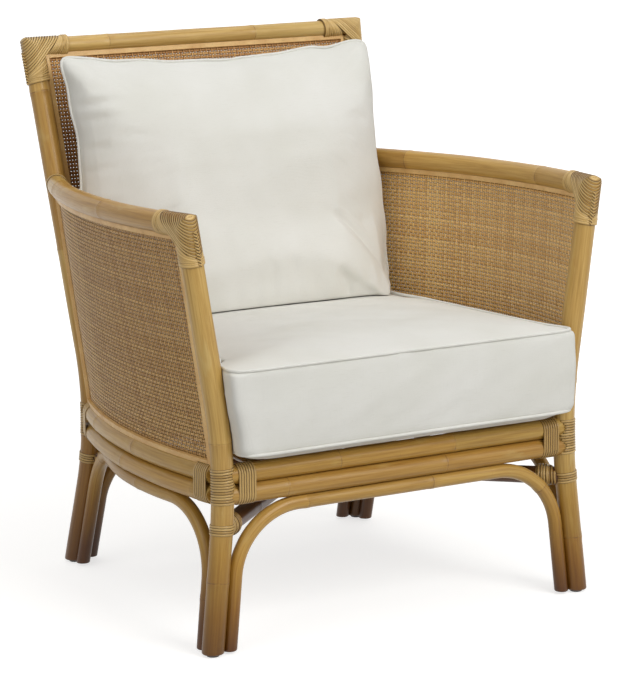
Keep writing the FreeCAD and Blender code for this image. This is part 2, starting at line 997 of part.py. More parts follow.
def back_plane():
    """Bottom and top points of the back sheet, and its normal towards the sitter."""
    low, _ = at_height(rear_line["right"], seat_rail_height)
    high = back_corners["right"].point
    bottom = Vector(0, low.y - back_cane_forward, low.z)
    top = Vector(0, high.y, high.z)
    rise = unit(top - bottom)
    return bottom, top, Vector(1, 0, 0).cross(rise)


def back_sheet():
    bottom, top, normal = back_plane()
    forward = normal * -1 if normal.y > 0 else normal
    low_half = abs(at_height(rear_line["right"], seat_rail_height)[0].x)
    high_half = abs(back_corners["right"].point.x)

    def layer(low, high):
        corners = [
            bottom - Vector(low_half, 0, 0),
            bottom + Vector(low_half, 0, 0),
            top + Vector(high_half, 0, 0),
            top - Vector(high_half, 0, 0),
        ]
        lifted = [corner + forward * low for corner in corners]
        face = Part.Face(Part.makePolygon(lifted + lifted[:1]))
        return face.extrude(forward * (high - low))

    poles = [
        (rear_line["left"], post_d),
        (rear_line["right"], post_d),
        (top_rail_line, top_rail_d),
        (rear_rails["upper"], seat_rail_d),
    ]
    lashings = []
    for side in SIDES:
        lashings.append(corner_blank(back_corners[side], top_rail_d, seat_gap))
        lashings.append(rail_wrap_room(side, rear_rails, rear_line, "rear"))
    return Sheet(layer, poles, lashings)


# Seat support

def cleat_half(rails):
    """Half the length of a cleat: it ends just before the lashings of its rails."""
    corner = rails["upper"][0].valueAt(0)
    return abs(corner.x) - post_d / 2 - strand_depth - rail_wrap_length - cleat_end_room


def make_cleat(end):
    """Batten screwed along the inner side of the front or rear rails."""
    rails = front_rails if end == "front" else rear_rails
    rail_y = rails["upper"][0].valueAt(0).y
    inner = seat_rail_d / 2 + seat_gap
    half = cleat_half(rails)
    y = rail_y + inner if end == "front" else rail_y - inner - cleat_width
    top = rail_top - seat_gap - slat_d - seat_gap
    return Part.makeBox(2 * half, cleat_width, cleat_height, Vector(-half, y, top - cleat_height))


def make_slats():
    """Thin poles from front cleat to rear cleat, fanned out, their tops level with the rails."""
    front = front_rails["upper"][0].valueAt(0).y + seat_rail_d / 2 + 2 * seat_gap
    rear = rear_rails["upper"][0].valueAt(0).y - seat_rail_d / 2 - 2 * seat_gap
    height = rail_top - seat_gap - slat_d / 2
    slats = []
    for index in range(slat_count):
        share = 2 * index / (slat_count - 1) - 1
        ends = []
        for rails, y in ((front_rails, front), (rear_rails, rear)):
            ends.append(Vector(share * (cleat_half(rails) - slat_end_room), y, height))
        slats.append(pole([line(*ends)], slat_d))
    return slats


# Feet

def make_glides():
    """Nylon glides nailed under the four posts."""
    glides = []
    for lines in (front_line, rear_line):
        for side in SIDES:
            centre, _ = at_height(lines[side], glide_height)
            profile = [
                (0, 0),
                (0, glide_d / 2),
                (glide_height - glide_shoulder, glide_d / 2),
                (glide_height, glide_d / 2 - glide_shoulder),
                (glide_height, 0),
            ]
            glides.append(turned(profile, centre, UP * -1))
    return glides


# Cushions

def drawn_outline(half_x, half_y, corner_r, draw, placed):
    """Closed run of lines and tangent arcs: round corners, and sides pulled in by draw."""
    points = [
        (half_x, -half_y), (half_x - draw, 0),
        (half_x, half_y), (0, half_y - draw),
        (-half_x, half_y), (draw - half_x, 0),
        (-half_x, -half_y), (0, draw - half_y),
    ]
    side_r, front_r = (side_belly * half ** 2 / draw for half in (half_y, half_x))
    radii = [corner_r, side_r, corner_r, front_r] * 2
    route = [placed(x, y) for x, y in points]
    start = route[-1] + (route[0] - route[-1]) * outline_start
    return bent_line([start] + route + [start], radii)


def seat_section(height, inset, fall, draw):
    """Outline of the seat cushion at a height; fall lowers its rear edge."""
    front = -seat_front_overhang + inset
    rear = seat_back_edge() - inset
    middle = (front + rear) / 2
    half_y = (rear - front) / 2
    radius = max(seat_corner_r - inset / 3, smallest_corner_r)

    def placed(x, y):
        share = (y + half_y) / (2 * half_y)
        narrowed = x * (1 - share * seat_rear_taper / seat_half_width)
        return Vector(narrowed, middle + y, height - fall * share)

    return drawn_outline(seat_half_width - inset, half_y, radius, draw, placed)


def seat_back_edge():
    """How far back the seat cushion reaches: just before the rear posts."""
    post, _ = at_height(rear_line["right"], rail_top)
    return post.y - seat_rear_room


def seat_solid(shrink):
    """The seat cushion, or with shrink the space inside its cover."""
    floor = rail_top + seat_gap
    low_seam = floor + seat_bottom_seam
    high_seam = low_seam + seat_boxing
    sections = []
    for rise, inset, tightness in seat_foot_profile:
        sections.append((floor + rise + shrink, inset, 0, seat_draw * tightness))
    sections.append((low_seam, 0, 0, seat_draw))
    middle = (low_seam + high_seam) / 2
    sections.append((middle, -seat_boxing_belly, seat_rear_drop / 2, seat_draw / 2))
    sections.append((high_seam, 0, seat_rear_drop, seat_draw))
    for share, inset, tightness in seat_crown_profile:
        height = high_seam + seat_crown * share - shrink
        sections.append((height, inset, seat_rear_drop, seat_draw * tightness))
    return stacked([
        seat_section(z, inset + shrink, fall, draw) for z, inset, fall, draw in sections
    ])


def stacked(outlines):
    """A closed form through a stack of outlines."""
    form = Part.makeLoft([Part.Wire(outline) for outline in outlines], True, True)
    return form if form.Volume > 0 else form.reversed()


def seat_welts():
    floor = rail_top + seat_gap
    proud = -(welt_d / 2 + seat_gap)
    low_seam = floor + seat_bottom_seam
    high_seam = low_seam + seat_boxing
    low = seat_section(low_seam, proud, 0, seat_draw)
    high = seat_section(high_seam, proud, seat_rear_drop, seat_draw)
    return [pole(low, welt_d), pole(high, welt_d)]


def back_frame():
    """Middle of the back cushion and its directions: across, up the back, to the front."""
    bottom, top, _ = back_plane()
    rise = unit(top - bottom)
    forward = Vector(1, 0, 0).cross(rise)
    forward = forward * -1 if forward.y > 0 else forward
    high_seam = rail_top + seat_gap + seat_bottom_seam + seat_boxing - seat_rear_drop
    stand_off = back_rear_depth + cane_thickness / 2 + seat_gap
    foot = high_seam + back_lift
    share = (foot - bottom.z) / rise.z
    centre = bottom + rise * (share + back_cushion_height / 2) + forward * stand_off
    return centre, rise, forward


def back_section(offset, inset, draw, drop=0.0):
    centre, rise, forward = back_frame()
    half_x = back_half_width - inset
    half_y = back_cushion_height / 2 - inset
    radius = max(back_corner_r - inset / 5, smallest_corner_r)

    def placed(x, y):
        return centre + Vector(x, 0, 0) + rise * (y - drop) + forward * offset

    return drawn_outline(half_x, half_y, radius, draw, placed)


def back_solid(shrink):
    steps = [(-share * (back_rear_depth - shrink), inset, 0.0) for share, inset, _ in back_profile]
    steps.append((0.0, 0.0, 0.0))
    for share, inset, drop in back_profile[::-1]:
        steps.append((share * (back_front_depth - shrink), inset, drop))
    wires = []
    for offset, inset, drop in steps:
        draw = back_draw * max(1 - inset / back_draw_reach, least_draw_share)
        wires.append(back_section(offset, inset + shrink, draw, drop))
    return stacked(wires)


def back_welt():
    proud = -(welt_d / 2 + seat_gap)
    return pole(back_section(0, proud, back_draw), welt_d)


def cushion_cover(solid_of):
    return solid_of(0).cut(solid_of(cover_thickness))


def cushion_core(solid_of):
    return solid_of(cover_thickness + seat_gap)


# The whole chair, node by node

def build():
    nodes = {}
    for side in SIDES:
        nodes[f"front_post_{side}"] = [make_front_post(side)]
        nodes[f"rear_post_{side}"] = [make_rear_post(side)]
        nodes[f"arm_rail_{side}"] = [make_arm_rail(side)]
        for level in rail_heights:
            nodes[f"side_rail_{level}_{side}"] = [make_side_rail(side, level)]
        nodes[f"side_arch_{side}"] = [make_arch(side_arch_lines[side])]
        nodes[f"arm_corner_lashing_{side}"] = [make_arm_corner_wrap(side)]
        nodes[f"back_corner_lashing_{side}"] = [make_back_corner_wrap(side)]
        nodes[f"arm_collar_{side}"] = [make_arm_collar(side)]
        sheet = side_sheet(side)
        nodes[f"side_cane_{side}"] = [sheet.cane()]
        nodes[f"side_splines_outer_{side}"] = sheet.splines(1)
        nodes[f"side_splines_inner_{side}"] = sheet.splines(-1)
    nodes["top_rail"] = [make_top_rail()]
    for level in rail_heights:
        nodes[f"front_rail_{level}"] = [make_cross_rail(front_rails[level], front_room)]
        nodes[f"rear_rail_{level}"] = [make_cross_rail(rear_rails[level], rear_room)]
    nodes["front_arch"] = [make_arch(front_arch_line)]
    nodes["rear_arch"] = [make_arch(rear_arch_line)]
    nodes["cross_brace_long"] = [make_long_brace()]
    nodes["cross_brace_short_front"] = [make_short_brace("front")]
    nodes["cross_brace_short_rear"] = [make_short_brace("rear")]
    nodes["front_post_lashings"] = [seat_wrap(front_line, side) for side in SIDES]
    nodes["rear_post_lashings"] = [seat_wrap(rear_line, side) for side in SIDES]
    nodes["front_rail_lashings"] = rail_wraps(front_rails, front_line, "front")
    nodes["rear_rail_lashings"] = rail_wraps(rear_rails, rear_line, "rear")
    nodes["side_rail_front_lashings"] = rail_wraps(side_rails, front_line, "front")
    nodes["side_rail_rear_lashings"] = rail_wraps(side_rails, rear_line, "rear")
    nodes["brace_post_lashings"] = [
        brace_wrap(lines, side) for lines in (front_line, rear_line) for side in SIDES
    ]
    nodes["brace_end_lashings"] = brace_end_wraps()
    nodes["brace_crossing_lashing"] = crossing_wraps()
    sheet = back_sheet()
    nodes["back_cane"] = [sheet.cane()]
    nodes["back_splines_front"] = sheet.splines(1)
    nodes["back_splines_rear"] = sheet.splines(-1)
    nodes["seat_cleat_front"] = [make_cleat("front")]
    nodes["seat_cleat_rear"] = [make_cleat("rear")]
    nodes["seat_slats"] = make_slats()
    nodes["frame_screws"] = [screw(*place) for place in screw_list]
    nodes["foot_glides"] = make_glides()
    nodes["seat_cushion_cover"] = [cushion_cover(seat_solid)]
    nodes["seat_cushion_core"] = [cushion_core(seat_solid)]
    nodes["seat_cushion_welts"] = seat_welts()
    nodes["back_cushion_cover"] = [cushion_cover(back_solid)]
    nodes["back_cushion_fill"] = [cushion_core(back_solid)]
    nodes["back_cushion_welt"] = [back_welt()]
    return nodes


def extent(shapes):
    """Lowest and highest corner of some shapes, measured on their real surfaces."""
    boxes = [shape.optimalBoundingBox(False, False) for shape in shapes]
    low = Vector(*[min(getattr(box, side) for box in boxes) for side in ("XMin", "YMin", "ZMin")])
    high = Vector(*[max(getattr(box, side) for box in boxes) for side in ("XMax", "YMax", "ZMax")])
    return low, high


def main():
    nodes = build()
    low, high = extent([solid for solids in nodes.values() for solid in solids])
    middle = (low + high) / 2
    shift = Vector(-middle.x, -middle.y, -low.z)
    os.makedirs("parts", exist_ok=True)
    for name, solids in nodes.items():
        shape = Part.makeCompound(solids) if len(solids) > 1 else solids[0]
        shape.translate(shift)
        shape.exportStep(f"parts/{name}.step")
        state = "ok" if shape.isValid() else "NOT VALID"
        count = len(shape.Solids)
        print(f"{name}: {count} solid(s), {shape.Volume / 1000:.1f} cm3, {state}")
    size = high - low
    print(f"moved by {shift.x:.2f}, {shift.y:.2f}, {shift.z:.2f} mm")
    print(f"whole chair {size.x:.1f} x {size.y:.1f} x {size.z:.1f} mm")


main()
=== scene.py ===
# %% [markdown]
# # A rattan armchair with woven cane sides and two loose cushions
#
# Rattan is a climbing palm. Its stem is solid, so it can be steamed and bent like a
# rod, and its glossy skin is split off as peel, which binds the joints. This lesson
# builds the chair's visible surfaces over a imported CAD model: poles with knots, wound
# lashings, woven cane, and cushions that a cloth simulation fills out.

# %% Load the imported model
import math
import bmesh
import bpy
import numpy as np
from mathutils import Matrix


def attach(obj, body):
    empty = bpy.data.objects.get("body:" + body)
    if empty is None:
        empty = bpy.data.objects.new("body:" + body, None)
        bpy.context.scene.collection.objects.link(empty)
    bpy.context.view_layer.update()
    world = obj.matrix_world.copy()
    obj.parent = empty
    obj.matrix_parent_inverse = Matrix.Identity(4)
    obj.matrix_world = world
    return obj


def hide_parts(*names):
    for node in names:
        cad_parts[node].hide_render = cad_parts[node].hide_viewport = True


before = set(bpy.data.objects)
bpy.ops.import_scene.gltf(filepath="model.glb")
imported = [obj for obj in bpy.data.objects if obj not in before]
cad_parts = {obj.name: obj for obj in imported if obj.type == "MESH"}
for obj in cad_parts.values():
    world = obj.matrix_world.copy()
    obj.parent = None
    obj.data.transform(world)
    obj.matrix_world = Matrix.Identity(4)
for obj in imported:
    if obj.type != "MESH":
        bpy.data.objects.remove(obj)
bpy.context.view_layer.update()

# %% [markdown]
# ## Camera
#
# The photograph is taken with a long lens, a little to the left of the chair and a
# little above the seat. The camera's place was found by fitting straight poles and
# feet to it. A camera can be aimed with a constraint, but three axes written into its
# matrix say the same without one.

# %% Place the camera
def unit(vectors):
    """Each vector divided by its own length."""
    vectors = np.asarray(vectors, float)
    return vectors / np.linalg.norm(vectors, axis=-1, keepdims=True)


def posed(item, right, up, back, place):
    """Put an object at a place, with its own axes along three world directions."""
    bpy.context.scene.collection.objects.link(item)
    item.matrix_world = np.vstack([np.column_stack([right, up, back, place]), [0, 0, 0, 1]]).T


photo_width, photo_height = 625, 675
focal_px, middle_px, middle_py = 2977.2, 313.2, 340.1
sensor_mm = 36.0
eye = np.array([-2.3457, -4.0423, 1.3333])
target = np.array([0.0557, 0.0508, 0.3764])
roll = math.radians(-0.4)
back_way = unit(eye - target)
level = unit(np.cross(-back_way, [0, 0, 1]))
upright = np.cross(level, -back_way)

camera_data = bpy.data.cameras.new("camera")
camera_data.sensor_fit = "HORIZONTAL"
camera_data.sensor_width = sensor_mm
camera_data.lens = focal_px / photo_width * sensor_mm
camera_data.shift_x = (photo_width / 2 - middle_px) / photo_width
camera_data.shift_y = (middle_py - photo_height / 2) / photo_width
camera = bpy.data.objects.new("camera", camera_data)
posed(camera, level * math.cos(roll) + upright * math.sin(roll),
      upright * math.cos(roll) - level * math.sin(roll), back_way, eye)
bpy.context.scene.camera = camera
print("lens", round(camera_data.lens, 1), "mm")

# %% [markdown]
# ## Node trees in few words
#
# Every finish below is a node tree. One helper adds a node, sets its values and links
# whatever sockets it is given, so that a tree reads as a list of steps.

# %% Helpers for node trees
def feed(tree, sockets, values):
    """Give input sockets their values: one that is a socket is linked, others are set."""
    for name, value in values.items():
        if isinstance(value, bpy.types.NodeSocket):
            tree.links.new(value, sockets[name])
        else:
            sockets[name].default_value = value


def add(tree, kind, inputs=None, **settings):
    """A node of this kind, with its settings made before its inputs are fed."""
    node = tree.nodes.new(kind)
    for name, value in settings.items():
        setattr(node, name, value)
    feed(tree, node.inputs, inputs or {})
    return node


def linear(red, green, blue):
    """A screen colour from 0 to 255 as the linear colour that a shader takes."""
    shares = np.array([red, green, blue]) / 255
    low = shares / 12.92
    high = ((shares + 0.055) / 1.055) ** 2.4
    return (*np.where(shares <= 0.04045, low, high), 1.0)


def math_node(tree, operation, first, second=0.0):
    """One sum on numbers that change over the surface."""
    return add(tree, "ShaderNodeMath", {0: first, 1: second}, operation=operation).outputs[0]


def mixed(tree, factor, first, second, blend="MIX"):
    """Two colours mixed by a factor. Inputs 6 and 7 are the node's two colours."""
    return add(tree, "ShaderNodeMix", {0: factor, 6: first, 7: second},
               data_type="RGBA", blend_type=blend).outputs[2]


def ramped(tree, value, stops):
    """A colour that follows a value: stops are (place, colour)."""
    node = add(tree, "ShaderNodeValToRGB", {"Fac": value})
    elements = node.color_ramp.elements
    while len(elements) < len(stops):
        elements.new(0.5)
    for element, (place, colour) in zip(elements, stops):
        element.position = place
        element.color = colour
    return node.outputs["Color"]


def between(tree, value, low, high, new_low=0.0, new_high=1.0):
    """A value carried from one range to another, smoothly and clamped."""
    inputs = {"Value": value, "From Min": low, "From Max": high,
              "To Min": new_low, "To Max": new_high}
    node = add(tree, "ShaderNodeMapRange", inputs, interpolation_type="SMOOTHSTEP")
    return node.outputs["Result"]


def noise(tree, vector, scale, detail=3.0, roughness=0.5, distortion=0.0):
    """A fractal noise value on a vector."""
    inputs = {"Vector": vector, "Scale": scale, "Detail": detail,
              "Roughness": roughness, "Distortion": distortion}
    return add(tree, "ShaderNodeTexNoise", inputs).outputs["Fac"]


def stretched(tree, vector, scale):
    """A vector with each axis scaled by its own number."""
    return add(tree, "ShaderNodeMapping", {"Vector": vector, "Scale": scale}).outputs["Vector"]


def attribute(tree, name, output="Vector"):
    """A value that the mesh carries for each point."""
    return add(tree, "ShaderNodeAttribute", attribute_name=name).outputs[output]

# %% Helpers for finishes
def separated(tree, vector):
    """The three numbers of a vector, by their letters."""
    return add(tree, "ShaderNodeSeparateXYZ", {"Vector": vector}).outputs


def combined(tree, x, y, z):
    """A vector from three numbers."""
    return add(tree, "ShaderNodeCombineXYZ", {"X": x, "Y": y, "Z": z}).outputs[0]


def object_place(tree):
    """The place on the object, which a finish stays with when the object moves."""
    return add(tree, "ShaderNodeTexCoord").outputs["Object"]


def relief(tree, height, strength, distance):
    """A bump from a height."""
    inputs = {"Height": height, "Strength": strength, "Distance": distance}
    return add(tree, "ShaderNodeBump", inputs).outputs["Normal"]


def new_finish(name, **values):
    """A material, its node tree, and its Principled shader's inputs. Values are given by
    the inputs' names with _ for a space, such as Coat_Weight."""
    material = bpy.data.materials.new(name)
    material.use_nodes = True
    sockets = material.node_tree.nodes["Principled BSDF"].inputs
    feed(material.node_tree, sockets,
         {label.replace("_", " "): value for label, value in values.items()})
    return material, material.node_tree, sockets

# %% [markdown]
# ## Floor, background and light
#
# The photograph is a studio cut-out: white all round, with soft light from the front
# right. A floor that the camera sees as white would lose the chair's shadow, so it
# keeps a diffuse part, and only tops it up with light that the camera and mirror-like
# rays see.

# %% Lay the floor
def tube_faces(rows, columns, closed=False):
    """Quads round a tube of rows of points, with its last row joined to its first if it
    is closed."""
    row = np.arange(rows if closed else rows - 1)[:, None]
    column = np.arange(columns)
    first, after = row * columns, (row + 1) % rows * columns
    following = (column + 1) % columns
    corners = [first + column, first + following, after + following, after + column]
    return np.stack(corners, -1).reshape(-1, 4)


def new_object(name, points, faces, sharp=None):
    """A smooth mesh object from arrays: points (n, 3), and faces as rows of corner
    numbers. Edges that turn by more than the sharp angle, in degrees, stay crisp."""
    mesh = bpy.data.meshes.new(name)
    mesh.from_pydata(points.reshape(-1, 3).tolist(), [], [list(face) for face in faces])
    mesh.validate()
    mesh.polygons.foreach_set("use_smooth", np.full(len(mesh.polygons), True))
    if sharp is not None:
        mesh.set_sharp_from_angle(angle=math.radians(sharp))
    item = bpy.data.objects.new(name, mesh)
    bpy.context.scene.collection.objects.link(item)
    return item


def seen_rays(tree):
    """One for rays from the camera, off a mirror or through glass, else nought."""
    path = add(tree, "ShaderNodeLightPath")
    seen = path.outputs["Is Camera Ray"]
    for kind in ("Is Glossy Ray", "Is Transmission Ray"):
        seen = math_node(tree, "MAXIMUM", seen, path.outputs[kind])
    return seen


floor_size = 30.0
shadow_r, white_r, shadow_glow = 0.5, 2.6, 0.70
corners = np.array([[-1, -1, 0], [1, -1, 0], [1, 1, 0], [-1, 1, 0]]) * floor_size
floor = new_object("floor", corners, [[0, 1, 2, 3]])
floor_finish, tree, floor_shader = new_finish("pale_floor")
reach = add(tree, "ShaderNodeVectorMath", {0: object_place(tree)}, operation="LENGTH")
near_glow = between(tree, reach.outputs["Value"], shadow_r, white_r, shadow_glow, 1.0)
feed(tree, floor_shader, {
    "Base Color": linear(196, 195, 192), "Roughness": 0.9, "Specular IOR Level": 0.1,
    "Emission Color": (1, 1, 1, 1),
    "Emission Strength": math_node(tree, "MULTIPLY", seen_rays(tree), near_glow),
})
floor.data.materials.append(floor_finish)
print("floor laid")

# %% Hang the lights
def lamp(name, place, aim, size, power):
    """A square soft lamp that faces a point."""
    data = bpy.data.lights.new(name, "AREA")
    data.size = size
    data.energy = power
    back = unit(np.subtract(place, aim))
    across = unit(np.cross([0, 0, 1], back))
    posed(bpy.data.objects.new(name, data), across, np.cross(back, across), back, place)


lamp("key_front", (0.9, -3.9, 3.0), (0, 0, 0.5), 2.4, 118)
lamp("fill_left", (-3.6, -1.2, 2.8), (0, 0, 0.5), 2.6, 30)
lamp("top", (0.2, 0.2, 3.6), (0, 0, 0), 2.4, 25)

world = bpy.data.worlds.new("studio")
bpy.context.scene.world = world
world.use_nodes = True
tree = world.node_tree
room_light = 0.34
feed(tree, tree.nodes["Background"].inputs, {
    "Color": (1, 1, 1, 1), "Strength": math_node(tree, "MAXIMUM", seen_rays(tree), room_light),
})
bpy.context.scene.view_settings.view_transform = "Standard"
print("three soft lamps and a pale room")

# %% [markdown]
# ## Centre lines
#
# Every pole of the frame is a round rod carried along a line, so the lines come first.
# Three kinds are enough: straight runs whose corners are rounded, the arc through
# three points, and a plain run. They repeat the CAD model's own numbers, so that each
# surface lies where the solid is.

# %% Lines as arrays
def run_length(points):
    """The distance to each of a row of points, along the row."""
    return np.concatenate([[0.0], np.cumsum(np.linalg.norm(np.diff(points, axis=0), axis=1))])


def looked_up(spots, run, rows):
    """Rows of numbers that belong to distances along a run, read off at other spots."""
    return np.stack([np.interp(spots, run, column) for column in rows.T], -1)


class Line:
    """Points along a centre line, with the distance to each of them."""

    def __init__(self, points):
        self.points = np.asarray(points, float)
        self.along = run_length(self.points)
        self.length = self.along[-1]

    def at(self, distance):
        """The points at these distances along the line."""
        return looked_up(distance, self.along, self.points)

    def way(self, distance):
        """The line's direction there: the difference of two near points, made unit."""
        distance = np.clip(distance, 0.002, self.length - 0.002)
        return unit(self.at(distance + 0.002) - self.at(distance - 0.002))

    def at_height(self, height):
        """The distance at which a rising line passes a height."""
        return np.interp(height, self.points[:, 2], self.along)

    def spot_at(self, height):
        """The point at which a rising line passes a height."""
        return self.at(self.at_height(height))

    def reversed(self):
        return Line(self.points[::-1])

# %% Straight runs, bends and arcs
waist_y = 299.17


def spot(x, y, z):
    """Metres in the chair's frame, from millimetres taken from the front posts' waist."""
    return np.array([x, y - waist_y, z]) / 1000


def straight(start, end, step=0.004):
    """Even points from start to end."""
    count = max(2, int(np.linalg.norm(end - start) / step))
    return Line(start + (end - start) * np.linspace(0, 1, count)[:, None])


def bent(corners, radii, step=0.003):
    """Straight runs joined by tangent arcs. With half the turn at a corner called h, the
    arc of radius r starts r tan h before it, and at angle a has the place
    start + r (sin a along + (1 - cos a) aside)."""
    points = [corners[0][None]]
    for before, corner, after, radius in zip(corners, corners[1:], corners[2:], radii):
        into, out = unit(corner - before), unit(after - corner)
        turn = math.acos(np.clip(into @ out, -1, 1))
        aside = unit(out - into * (out @ into))
        angle = np.linspace(0, turn, max(3, int(turn * radius / step)))[:, None]
        start = corner - into * radius * math.tan(turn / 2)
        points.append(start + radius * (np.sin(angle) * into + (1 - np.cos(angle)) * aside))
    points.append(corners[-1][None])
    rough = Line(np.concatenate(points))
    return Line(rough.at(np.linspace(0, rough.length, int(rough.length / step))))


def arc_through(start, middle, end, step=0.003):
    """The arc through three points. With a and b the sides from the start, the centre is
    the start + (a x b) x ((b.b) a - (a.a) b) / (2 |a x b|^2)."""
    a, b = middle - start, end - start
    across = np.cross(a, b)
    centre = start + np.cross(across, (b @ b) * a - (a @ a) * b) / (2 * across @ across)
    first, radius = start - centre, np.linalg.norm(start - centre)
    second = np.cross(unit(across), first)
    turn = math.atan2((end - centre) @ second, (end - centre) @ first) % math.tau
    angle = np.linspace(0, turn, max(3, int(turn * radius / step)))[:, None]
    return Line(centre + np.cos(angle) * first + np.sin(angle) * second)

# %% Centre lines of the posts, arms and rails
post_r, arm_r, top_rail_r, seat_rail_r = 0.017, 0.016, 0.0135, 0.015
arch_r, brace_r, arch_bend = 0.011, 0.014, 0.110
gap = 0.0003
sides = {"left": -1, "right": 1}
rail_heights = {"upper": 0.271, "lower": 0.2407}
brace_height, arm_rear_height = 0.190, 0.633
arm_bow, side_rail_bow = 0.043, 0.038
past_top = 0.030


def post_corners(side):
    """Foot, waist and top of a front and of a rear post."""
    s = sides[side]
    front = [spot(s * 330, -6, 0), spot(s * 300, 0, 282), spot(s * 357, 8, 648)]
    rear = [spot(s * 273, 577, 0), spot(s * 265, 497, 258), spot(s * 300, 634, 850)]
    return front, rear


def post_line(corners, radius):
    """A post's centre line, carried past its top so that it can be mitred."""
    foot, waist, top = corners
    return bent([foot, waist, top + unit(top - waist) * past_top], [radius])


def bowed(side, start, end, bow):
    """An arc from start to end that bows out to its own side."""
    return arc_through(start, (start + end) / 2 + np.array([sides[side] * bow, 0, 0]), end)


front_line = {s: post_line(post_corners(s)[0], 0.800) for s in sides}
rear_line = {s: post_line(post_corners(s)[1], 0.430) for s in sides}
post_of = {"front": front_line, "rear": rear_line}
arm_line, rail_line = {}, {}
for side in sides:
    arm_line[side] = bowed(side, post_corners(side)[0][2],
                           rear_line[side].spot_at(arm_rear_height), arm_bow)
    for level_name, height in rail_heights.items():
        ends = [line[side].spot_at(height) for line in post_of.values()]
        rail_line[side, level_name] = bowed(side, *ends, side_rail_bow)
top_line = straight(*[post_corners(side)[1][2] for side in sides])
for end, lines in post_of.items():
    for level_name, height in rail_heights.items():
        rail_line[end, level_name] = straight(*[lines[side].spot_at(height) for side in sides])
print("arm", round(arm_line["left"].length, 3),
      "side rail", round(rail_line["left", "upper"].length, 3))

# %% Centre lines of the arches and the crossed braces
arch_height = 0.2144


def leg_corners(corners, level_way):
    """Where an arch's leg starts at the floor and where it turns, beside a post."""
    foot, waist, _ = corners
    along = unit(waist - foot)
    level_way = np.array(level_way, float)
    apart = (post_r + arch_r + gap) / math.sin(math.acos(level_way @ along))
    start = foot + level_way * apart
    return start, start + along * (arch_height / along[2])


arch_line = {}
for number, end in enumerate(post_of):
    left = leg_corners(post_corners("left")[number], (1, 0, 0))
    right = leg_corners(post_corners("right")[number], (-1, 0, 0))
    arch_line[end] = bent([*left, *right[::-1]], [arch_bend, arch_bend])
for side, s in sides.items():
    front = leg_corners(post_corners(side)[0], (0, 1, 0))
    rear = leg_corners(post_corners(side)[1], (0, -1, 0))
    rail = rail_line[side, "lower"]
    chord = (front[1] + rear[1]) / 2
    bulge = abs(rail.at(rail.length / 2)[0]) - abs(chord[0])
    crown = chord + np.array([s * bulge * 1.25, 0, 0])
    crown[2] = arch_height
    side_bends = [0.10913, 0.55558, arch_bend]
    arch_line[side] = bent([*front, crown, *rear[::-1]], side_bends)


long_brace = straight(front_line["left"].spot_at(brace_height),
                      rear_line["right"].spot_at(brace_height))
crossing = long_brace.at(np.interp(0, long_brace.points[:, 0], long_brace.along))
short_brace = {"front": straight(front_line["right"].spot_at(brace_height), crossing),
               "rear": straight(rear_line["left"].spot_at(brace_height), crossing)}
print("braces cross at", [round(v, 3) for v in crossing])

# %% [markdown]
# ## The skin of rattan
#
# A rattan stem is honey-coloured and streaked along its length. Every 15 to 30 cm it
# has a knot: a thin dark ring on a slight swelling, where a leaf once sheathed it, and
# the tone often changes there. A flat image could not follow bent poles, so each mesh
# carries four values for its points: its place on the straightened pole, its distance
# from the nearest knot, the tone of its stretch between two knots, and its depth, which
# is painted shade that darkens poles that lie low or in shade.

# %% A node group for rattan skin
def new_group(name, inputs, outputs):
    """An empty node group with named sockets, and its input and output nodes."""
    group = bpy.data.node_groups.new(name, "ShaderNodeTree")
    for label, kind in inputs:
        group.interface.new_socket(name=label, in_out="INPUT", socket_type="NodeSocket" + kind)
    for label, kind in outputs:
        group.interface.new_socket(name=label, in_out="OUTPUT", socket_type="NodeSocket" + kind)
    return group, add(group, "NodeGroupInput").outputs, add(group, "NodeGroupOutput").inputs


rattan_group, given, result = new_group(
    "rattan_skin",
    [("Place", "Vector"), ("From Knot", "Float"), ("Tone", "Float"), ("Depth", "Float")],
    [("Color", "Color"), ("Roughness", "Float"), ("Height", "Float")],
)
tree = rattan_group
streak = noise(tree, stretched(tree, given["Place"], (260, 260, 9)), 1.0, 4.0, 0.6, 0.4)
fibre = noise(tree, stretched(tree, given["Place"], (1500, 1500, 45)), 1.0, 2.0, 0.6)
cloud = noise(tree, stretched(tree, given["Place"], (45, 45, 14)), 1.0, 3.0, 0.55, 0.6)
base = ramped(tree, streak, [
    (0.25, linear(176, 141, 80)), (0.45, linear(196, 163, 98)),
    (0.58, linear(207, 176, 112)), (0.80, linear(218, 191, 130)),
])
tone = ramped(tree, given["Tone"], [
    (0.0, linear(226, 202, 152)), (0.5, linear(250, 248, 236)), (1.0, linear(255, 240, 204)),
])
base = mixed(tree, 0.75, base, tone, "MULTIPLY")
stain = between(tree, cloud, 0.62, 0.78, 0.0, 0.45)
base = mixed(tree, stain, base, linear(170, 120, 62))
pale = between(tree, cloud, 0.42, 0.26, 0.0, 0.30)
base = mixed(tree, pale, base, linear(214, 194, 138))
base = mixed(tree, between(tree, fibre, 0.62, 0.80, 0.0, 0.28), base, linear(140, 102, 56))
# Painted shade: the depth value multiplies the skin's colour towards dark brown, where a pole
# lies low or in shade.
deep = ramped(tree, given["Depth"], [
    (0.0, linear(255, 255, 255)), (0.35, linear(226, 212, 166)), (0.7, linear(172, 146, 90)),
    (1.0, linear(118, 86, 44)),
])
base = mixed(tree, 1.0, base, deep, "MULTIPLY")
away = math_node(tree, "ABSOLUTE", given["From Knot"])
patch = noise(tree, stretched(tree, given["Place"], (90, 90, 30)), 1.0, 2.0)
scar = math_node(tree, "MULTIPLY", between(tree, away, 0.0013, 0.0002),
                 between(tree, patch, 0.40, 0.66, 0.06, 0.62))
collar = math_node(tree, "MULTIPLY", between(tree, away, 0.012, 0.001),
                   between(tree, patch, 0.46, 0.74, 0.0, 0.30))
base = mixed(tree, collar, base, linear(142, 96, 50))
base = mixed(tree, scar, base, linear(104, 70, 36))
height = math_node(tree, "ADD", math_node(tree, "MULTIPLY", fibre, 0.35),
                   math_node(tree, "MULTIPLY", streak, 0.65))
